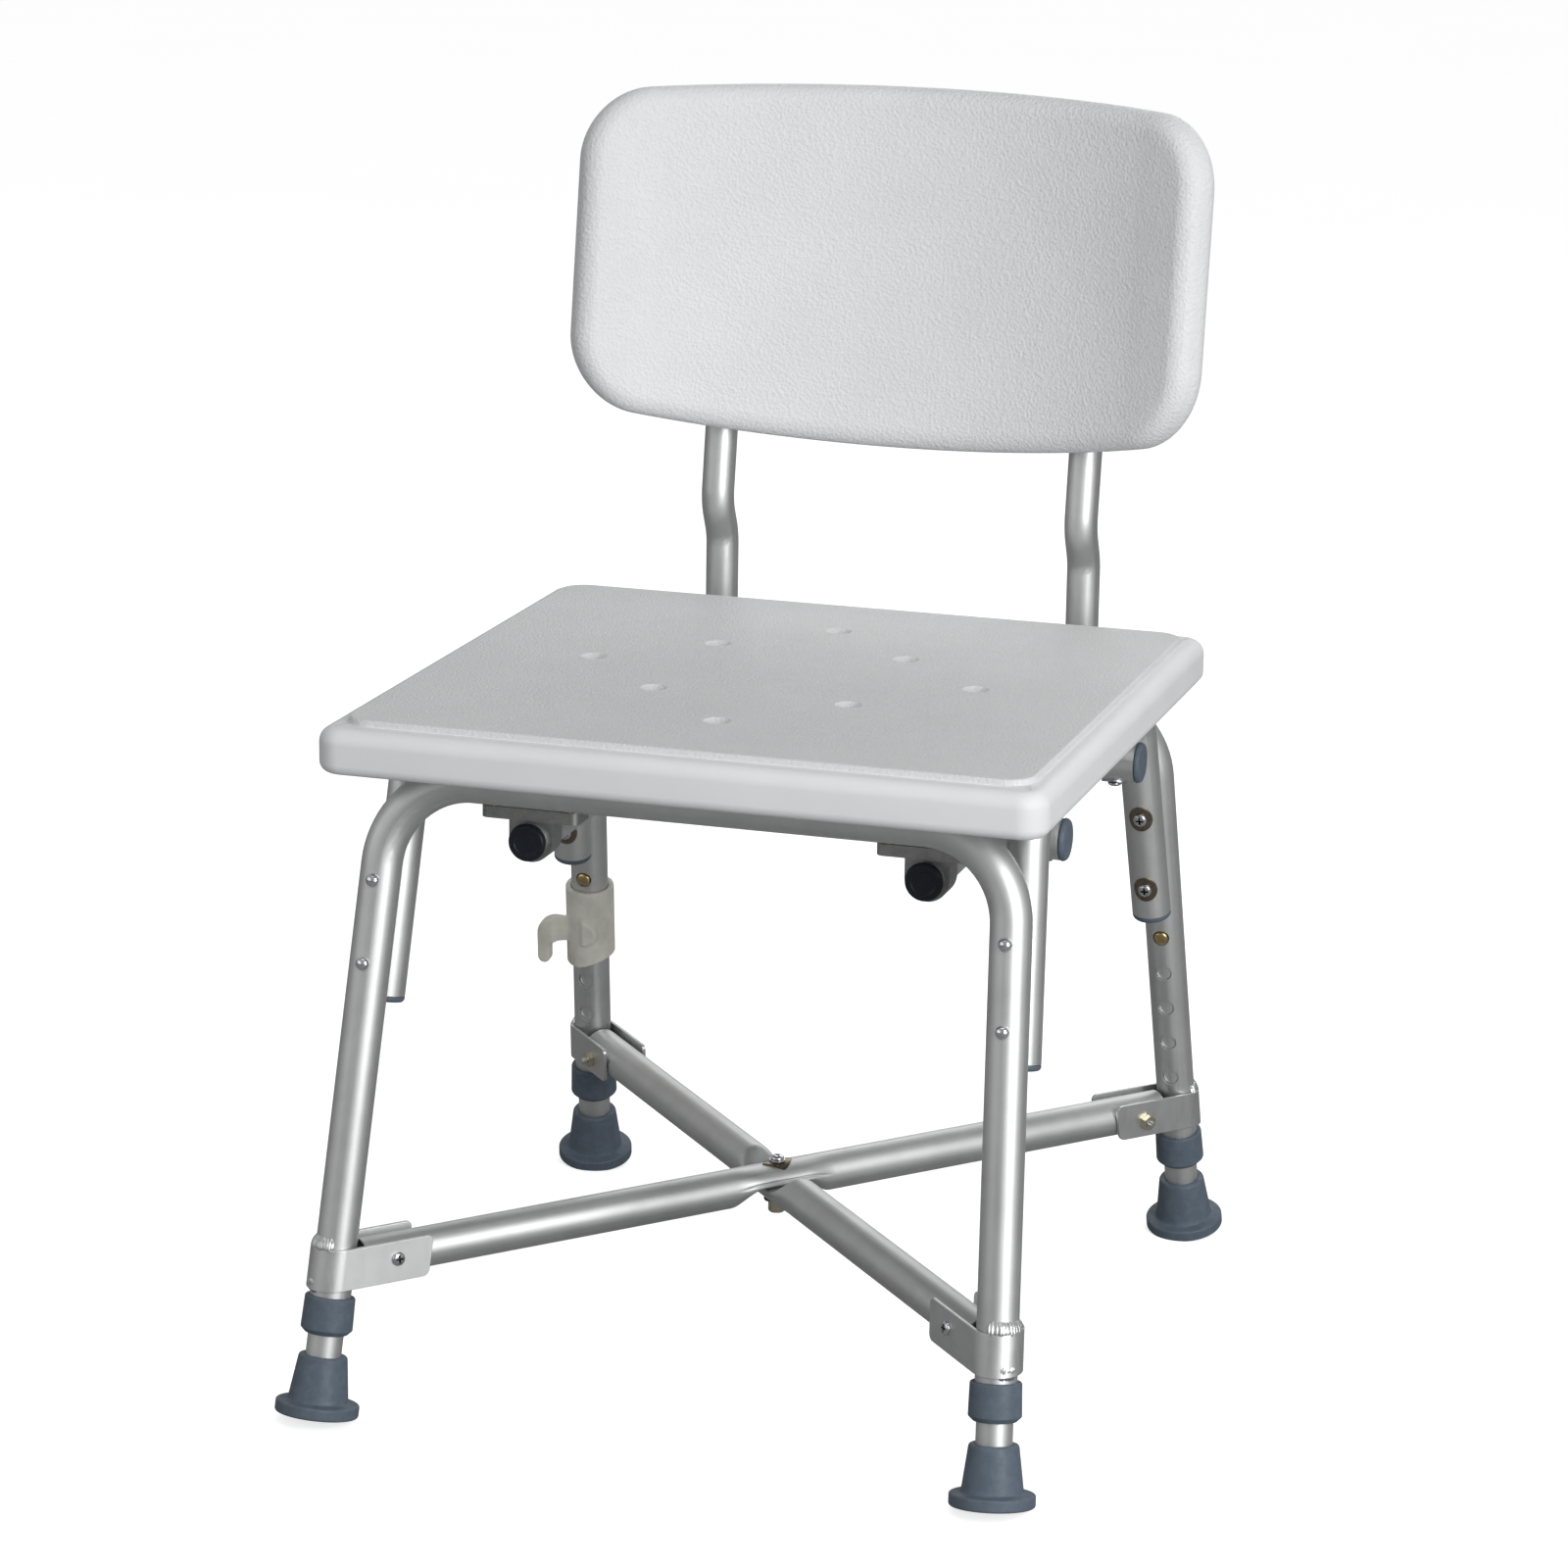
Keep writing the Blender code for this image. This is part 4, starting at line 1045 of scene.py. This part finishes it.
def dress_cross_tube(node, y):
    path = [Vector((-CROSS_HALF, y, CROSS_Z)), Vector((CROSS_HALF, y, CROSS_Z))]
    tube_piece(node, path, TUBE, TUBE_BORE)
    for (label, side), end, inside in zip(LEFT_RIGHT, path, reversed(path)):
        cap = moved(plug(TUBE + 0.0004), along(end, inside))
        piece(f"{node}_plug_{label}", "cap", cap, RUBBER)
        place = Vector((side * CROSS_SCREW_X, y, CROSS_Z - TUBE))
        detail(node, f"washer_{label}", set_on(ROUND_SADDLE, place, -UP, (1, 0, 0)), ZINC)
        head = set_on(PAN, place - UP * SADDLE_LIFT, -UP, (1, 0, 0))
        detail(node, f"screw_{label}", head, SCREW)


def bent(co, half):
    rise = co.z / half.z
    bow = 1 - (co.x / half.x) ** 2
    z = co.z + (BACK_BOW_TOP * max(rise, 0) + BACK_BOW_BOTTOM * min(rise, 0)) * bow
    angle = co.x / BACK_CURVE
    radius = BACK_CURVE + co.y
    return Vector((radius * sin(angle), radius * cos(angle) - BACK_CURVE, z))


def back_panel():
    bm = bmesh.new()
    half = Vector((BACK_WIDTH / 2, BACK_THICK / 2, BACK_HEIGHT / 2))
    bmesh.ops.create_cube(bm, size=2, matrix=Matrix.Diagonal((*half, 1)))
    bevelled(bm, [e for e in bm.edges if abs(e.verts[0].co.y - e.verts[1].co.y) > half.y], BACK_CORNER, 20)
    bevelled(bm, [e for e in bm.edges if e.calc_face_angle(0) > 1.0], BACK_ROUND, 10)
    flat = half.x - BACK_CORNER - 0.001
    for step in range(41):
        x = -flat + 2 * flat * step / 40
        everything = list(bm.verts) + list(bm.edges) + list(bm.faces)
        bmesh.ops.bisect_plane(bm, geom=everything, plane_co=(x, 0, 0), plane_no=(1, 0, 0))
    for vert in bm.verts:
        vert.co = bent(vert.co, half)
    bmesh.ops.triangulate(bm, faces=[f for f in bm.faces if len(f.verts) > 4])
    return mesh_from(bm)


def dress_backrest():
    """Curved panel with a boss behind it for each post, and the posts' sockets."""
    middle = Vector((0, BACK_MIDDLE[0], BACK_MIDDLE[1]))
    mesh = moved(back_panel(), Matrix.Translation(middle) @ Matrix.Rotation(-BACK_LEAN, 4, "X"))
    lean = (post_axis(1) - post_axis(0)).normalized()
    for side in (-1, 1):
        mirror = Vector((side, 1, 1))
        low = post_axis(SOCKET_BOTTOM_Z) * mirror
        high = post_axis(POST_TOP_Z) * mirror
        length, tip, edge = (high - low).length + 0.008, 0.006, 0.0008
        profile = [(0, 0), (SOCKET_RADIUS - edge, 0), (SOCKET_RADIUS, edge)]
        profile += arc(0, length - tip, SOCKET_RADIUS, 0, 90, 6, tip)
        mesh = carved(mesh, moved(turned(profile), along(low, high)), operation="UNION")
        mesh = carved(mesh, rod(low - lean * 0.06, high + lean * GAP, SLIM + FIT))
    piece("backrest", "shell", mesh, BACK, angle=50)


# Brace


def run_matrix(start, end):
    run = (leg_point(end, BRACE_Z) - leg_point(start, BRACE_Z)).normalized()
    return frame_of(run, UP.cross(run), UP)


def crimp_share(x):
    share = 1 - (abs(x) - CRIMP_HALF) / CRIMP_BLEND
    share = min(max(share, 0.0), 1.0)
    return share * share * (3 - 2 * share)


def brace_section(x, angle, lift, inset=0.0):
    """Point of the brace's section: round, or pressed to a D shape in the middle."""
    share = crimp_share(x)
    base = 0.0021
    wide = TUBE + (CRIMP_WIDTH - TUBE) * share - inset
    centre = (GAP / 2 + base) * share
    full = CRIMP_HEIGHT - base
    away = TUBE + (full - TUBE) * share - inset
    near = TUBE + (base - TUBE) * share - inset * (1 - 0.6 * share)
    power = 1 - 0.62 * share
    y, z = cos(angle), sin(angle)
    crease = (math.degrees(math.asin(z)) - CREASE_ANGLE) / 3.5
    wide -= CREASE_DEPTH * share * math.exp(-crease * crease)
    if z >= 0:
        height = centre + away * z
    else:
        height = centre - near * abs(z) ** power
    return wide * y, height * lift


def dress_brace(node, start_corner, end_corner, lift):
    start, end = leg_point(start_corner, BRACE_Z), leg_point(end_corner, BRACE_Z)
    matrix = Matrix.Translation((end + start) / 2) @ run_matrix(start_corner, end_corner)
    reach = (end - start).length / 2 - BRACE_START
    flat = CRIMP_HALF + CRIMP_BLEND
    places = [-reach, -reach * 0.66, -flat * 1.3]
    places += [flat * (i - 24) / 24 for i in range(49)]
    places += [flat * 1.3, reach * 0.66, reach]
    angles = [2 * pi * k / BRACE_SIDES for k in range(BRACE_SIDES)]
    bm = bmesh.new()

    def ring(x, inset):
        spots = [brace_section(x, angle, lift, inset) for angle in angles]
        return [bm.verts.new(matrix @ Vector((x, y, z))) for y, z in spots]

    outer, inner = ([ring(x, inset) for x in places] for inset in (0.0, TUBE - TUBE_BORE))
    ends = [matrix @ Vector((sign * reach, 0, 0)) for sign in (-1, 1)]
    piece(node, "tube", add_grain(shell_from(bm, outer, inner), ends, False), ALUMINIUM, angle=48)


def clevis_outline():
    inner, outer = CLEVIS_INNER, CLEVIS_INNER + CLEVIS_WALL
    points = [(CLEVIS_REACH, -outer), *arc(0, 0, outer, 270, -180, 24), (CLEVIS_REACH, outer)]
    points += [(CLEVIS_REACH, inner), *arc(0, 0, inner, 90, 180, 24), (CLEVIS_REACH, -inner)]
    return [Vector((x, y, 0)) for x, y in points]


def dress_clevis(corner, towards):
    """Bent strap round the leg: rounded arm ends, soft edges, weld beads and its bolt."""
    node = f"brace_clevis_{corner}"
    turn = run_matrix(corner, towards)
    up = leg_up(corner)
    slope = turn.to_3x3().inverted() @ up
    slope = slope / slope.z
    bm = prism(clevis_outline(), (0, 0, CLEVIS_HEIGHT))
    tips = [
        e
        for e in bm.edges
        if min(v.co.x for v in e.verts) > CLEVIS_REACH - 1e-5
        and abs(e.verts[0].co.z - e.verts[1].co.z) < 1e-6
    ]
    bevelled(bm, tips, CLEVIS_TIP, 8)
    for vert in bm.verts:
        vert.co.z -= CLEVIS_HEIGHT / 2
        vert.co.x += slope.x * vert.co.z
        vert.co.y += slope.y * vert.co.z
    mesh = moved(mesh_from(bm), Matrix.Translation(leg_point(corner, BRACE_Z)) @ turn)
    piece(node, "strap", store_grain(rounded(mesh, 0.00045, 3, 50)), SHEET, angle=30)
    run = turn.to_3x3() @ Vector((1, 0, 0))
    outward = -(run - up * run.dot(up)).normalized()
    across = up.cross(outward)
    if across.x < 0:
        across = -across
    sign = -1 if corner.endswith("left") else 1
    for label, z, lean, spread, size in WELDS:
        base = leg_point(corner, BRACE_Z + z * CLEVIS_HEIGHT)
        directions = []
        for step in range(-2 * spread, 2 * spread + 1):
            angle = radians(sign * lean + step / 2)
            directions.append(outward * cos(angle) + across * sin(angle))
        bead = weld_bead(base, up if z > 0 else -up, directions, size)
        detail(node, f"weld_{label}", bead, WELD, 28)
    dress_clevis_bolt(corner, run, up)


def weld_bead(base, up, directions, size):
    """Fillet round the leg: a row of overlapping coins that thins out at both ends."""
    coin, last = 19, len(directions) - 1
    wide, tall, lean = 0.0023, 0.0047, 0.0013
    loops = []
    bm = bmesh.new()
    for i, away in enumerate(directions):
        ripple = 0.87 + 0.13 * sin(pi * (i % coin) / coin) ** 0.5
        taper = min(1.0, 0.45 + min(i, last - i) / 30)
        wobble = 1 + 0.05 * sin(i * 0.11) + 0.03 * sin(i * 0.27)
        spots = circle(size * ripple * taper * wobble, 20)
        sides = [(TUBE + GAP + wide * x - lean * y) * away for x, y in spots]
        loops.append([bm.verts.new(base + side + up * tall * y) for side, (x, y) in zip(sides, spots)])
    return solid_from(bm, loops)


def dress_clevis_bolt(corner, run, up):
    node = f"clevis_bolt_{corner}"
    centre = leg_point(corner, BRACE_Z) + run * CLEVIS_BOLT
    across = run.cross(up).normalized()
    side = Vector((-run.y, run.x, 0)).normalized()
    half = (CLEVIS_INNER + CLEVIS_WALL) * abs(across.dot(side))
    out = across if (across.y < 0) == corner.startswith("front") else -across
    head = set_on(PAN, centre + out * half, out, run)
    shank = rod(centre - out * half, centre + out * half, BOLT_RADIUS - 0.0001, 20)
    tip = set_on(BOLT_END, centre - out * (half + NUT_HEIGHT - 0.0001), -out, run)
    piece(node, "screw", joined(head, shank, tip), SCREW)
    detail(node, "nut", set_on(NUT, centre - out * half, -out, run), YELLOW)


def dress_centre_bolt():
    node = "brace_centre_bolt"
    middle = (leg_point("front_left", BRACE_Z) + leg_point("rear_right", BRACE_Z)) / 2
    half = CRIMP_HEIGHT + GAP / 2
    run = run_matrix("front_left", "rear_right").to_3x3() @ Vector((1, 0, 0))
    top = middle + UP * (half - 0.0004)
    low = middle - UP * half
    head = set_on(PAN, top + UP * 0.0028, UP, run)
    shank = rod(low - UP * 0.004, top + UP * 0.0028, BOLT_RADIUS, 20)
    piece(node, "screw", joined(head, shank), SCREW)
    detail(node, "saddle", set_on(SQUARE_SADDLE, top, UP, run), BRONZE)
    detail(node, "ring", set_on(RING, top + UP * SADDLE_LIFT, UP, run), ZINC)
    detail(node, "washer", set_on(ROUND_SADDLE, low + UP * 0.0004, -UP, run), BRONZE)
    detail(node, "nut", set_on(CAP_NUT, low - UP * 0.0008, -UP, run), YELLOW)


# Hose hook


def hook_outline():
    """The arm seen from the front: a bar with a big round shoulder and a finger turned down."""
    left, right = HOOK_ARM_SIDE
    low, high = HOOK_ARM_HEIGHT
    shoulder, half, inner = 0.0135, HOOK_FINGER / 2, 0.005
    radius = (high - low) / 2
    points = arc(right - radius, low + radius, radius, -90, 180, 16)
    points += arc(left + shoulder, high - shoulder, shoulder, 90, 90, 10)
    points += arc(left + half, HOOK_FINGER_END + half, half, 180, 180, 8)
    return points + arc(left + HOOK_FINGER + inner, low - inner, inner, 180, -90, 6)


def hook_arm():
    """The arm on the leg's axis, with a dished face."""
    back, front = HOOK_BAR_FRONT
    bar = prism([(back, y, z) for y, z in hook_outline()], (front - back, 0, 0))
    x, y = front + 0.0050, -0.0105
    dish = rod((x, y, -0.03), (x, y, 0.03), 0.0120, 64)
    return carved(rounded(mesh_from(bar), 0.0022, 4, 40), dish)


def dress_hook():
    """Soft moulded sleeve with a slanted lower end and a dished arm that ends in a finger."""
    low, high = (leg_point(HOOK_CORNER, z) for z in HOOK_Z)
    length = (high - low).length
    foot = leg_matrix(HOOK_CORNER, HOOK_Z[0])
    profile = [(HOOK_RADIUS, 0), (HOOK_RADIUS, length), (HOOK_BORE, length), (HOOK_BORE, 0)]
    sleeve = moved(turned(profile, 64, True), foot)
    tilt = Matrix.Translation((0, -0.004, 0)) @ Matrix.Rotation(radians(19), 4, "X")
    slant = moved(block((-0.04, -0.04, -0.04), (0.04, 0.04, 0.0)), foot @ tilt)
    matrix = leg_matrix(HOOK_CORNER, HOOK_ARM_Z)
    mesh = carved(carved(sleeve, slant), moved(hook_arm(), matrix), operation="UNION")
    mesh = carved(mesh, moved(rod((0, 0, -0.04), (0, 0, 0.05), HOOK_BORE, 64), matrix))
    voxels, smooth = {"mode": "VOXEL", "voxel_size": 0.0006}, {"factor": 0.5, "iterations": 8}
    piece("hose_hook", "moulding", modified(mesh, REMESH=voxels, SMOOTH=smooth), MILKY, "hook", angle=60)


# Stage


def viewed_from(azimuth, elevation):
    """Way from the chair: azimuth 0 to its front, 90 to the viewer's right, in degrees."""
    a, e = radians(azimuth), radians(elevation)
    return Vector((sin(a) * cos(e), -cos(a) * cos(e), sin(e)))


def seen_or_lit(tree, seen, lit, shader_input):
    """The camera sees one shader, and the rays that light the chair meet the other."""
    path = tree.nodes.new("ShaderNodeLightPath")
    mix = tree.nodes.new("ShaderNodeMixShader")
    tree.links.new(path.outputs["Is Camera Ray"], mix.inputs[0])
    tree.links.new(lit, mix.inputs[1])
    tree.links.new(seen, mix.inputs[2])
    tree.links.new(mix.outputs[0], shader_input)


def add_floor():
    """Pale paper that the camera sees bright, and that is clear from below."""
    bm = bmesh.new()
    bmesh.ops.create_grid(bm, x_segments=1, y_segments=1, size=30)
    floor = linked("studio_floor", mesh_from(bm, "studio_floor"))
    paint = Paint("studio_paper", (0.90, 0.90, 0.90), 0.8)
    place = paint.coordinates()
    paint.vary_colour(paint.noise(place, 3), (0.885, 0.885, 0.89))
    paint.bump(paint.noise(place, 220), 0.0002, 0.2)
    paint.set(Emission_Color=(1, 1, 1, 1), Emission_Strength=FLOOR_GLOW)
    dim = paint.node("BsdfDiffuse", Color=(*FLOOR_BOUNCE, 1.0))
    under = paint.node("MixShader")
    paint.link(paint.node("NewGeometry").outputs["Backfacing"], under.inputs[0])
    paint.link(paint.shader.outputs[0], under.inputs[1])
    paint.link(paint.node("BsdfTransparent").outputs[0], under.inputs[2])
    output = paint.tree.nodes["Material Output"].inputs["Surface"]
    seen_or_lit(paint.tree, under.outputs[0], dim.outputs[0], output)
    floor.data.materials.append(paint.material)


def add_world():
    world = bpy.data.worlds.new("studio")
    world.use_nodes = True
    tree = world.node_tree
    lit = tree.nodes["Background"]
    lit.inputs["Color"].default_value = (1, 1, 1, 1)
    lit.inputs["Strength"].default_value = WORLD_LIGHT
    seen = tree.nodes.new("ShaderNodeBackground")
    seen.inputs["Color"].default_value = (*WORLD_SEEN, 1)
    seen_or_lit(tree, seen.outputs[0], lit.outputs[0], tree.nodes["World Output"].inputs["Surface"])
    bpy.context.scene.world = world


def add_light(name, azimuth, elevation, distance, size, power):
    """A soft box that looks at the middle of the chair."""
    light = bpy.data.lights.new(name, "AREA")
    light.shape = "RECTANGLE"
    light.size, light.size_y = size
    light.energy = power
    way = viewed_from(azimuth, elevation)
    turn = way.to_track_quat("Z", "Y").to_matrix().to_4x4()
    place = way * distance + UP * LIGHT_TARGET_Z
    linked(name, light).matrix_world = Matrix.Translation(place) @ turn


def add_camera():
    azimuth, roll = radians(CAMERA_WAY[0]), radians(CAMERA_ROLL)
    back = viewed_from(*CAMERA_WAY)
    right = Vector((cos(azimuth), sin(azimuth), 0))
    up = back.cross(right)
    across = cos(roll) * right + sin(roll) * up
    upright = cos(roll) * up - sin(roll) * right
    camera = bpy.data.cameras.new("camera")
    camera.sensor_width = 36
    camera.lens = CAMERA_LENS
    camera.shift_x, camera.shift_y = CAMERA_SHIFT
    obj = linked("camera", camera)
    obj.matrix_world = frame_of(across, upright, back, CAMERA_PLACE)
    bpy.context.scene.camera = obj


def build():
    dress_seat()
    dress_backrest()
    dress_leg_frame("front_leg_frame", "front_left", "front_right")
    dress_leg_frame("rear_leg_frame", "rear_left", "rear_right")
    for label, side in LEFT_RIGHT:
        dress_side_frame(f"{label}_side_frame", f"front_{label}", f"rear_{label}")
        dress_post(f"{label}_back_post", side)
    for end, y in zip(("front", "rear"), CROSS_Y):
        dress_cross_tube(f"{end}_cross_tube", y)
        for label, side in LEFT_RIGHT:
            dress_bracket(f"{end}_post_bracket_{label}", side, y)
    for corner in CORNERS:
        dress_extension(corner)
        dress_button(corner)
        dress_collar(corner)
        dress_foot(corner)
        for label, z in zip(("upper", "lower"), BOLT_Z):
            dress_frame_bolt(corner, label, z)
    for node, (start, end), lift in BRACES:
        dress_brace(node, start, end, lift)
    dress_centre_bolt()
    for _, (start, end), _ in BRACES:
        dress_clevis(start, end)
        dress_clevis(end, start)
    dress_hook()


build()
add_floor()
add_world()
for light in LIGHTS:
    add_light(*light)
add_camera()
bpy.context.scene.view_settings.view_transform = "Standard"
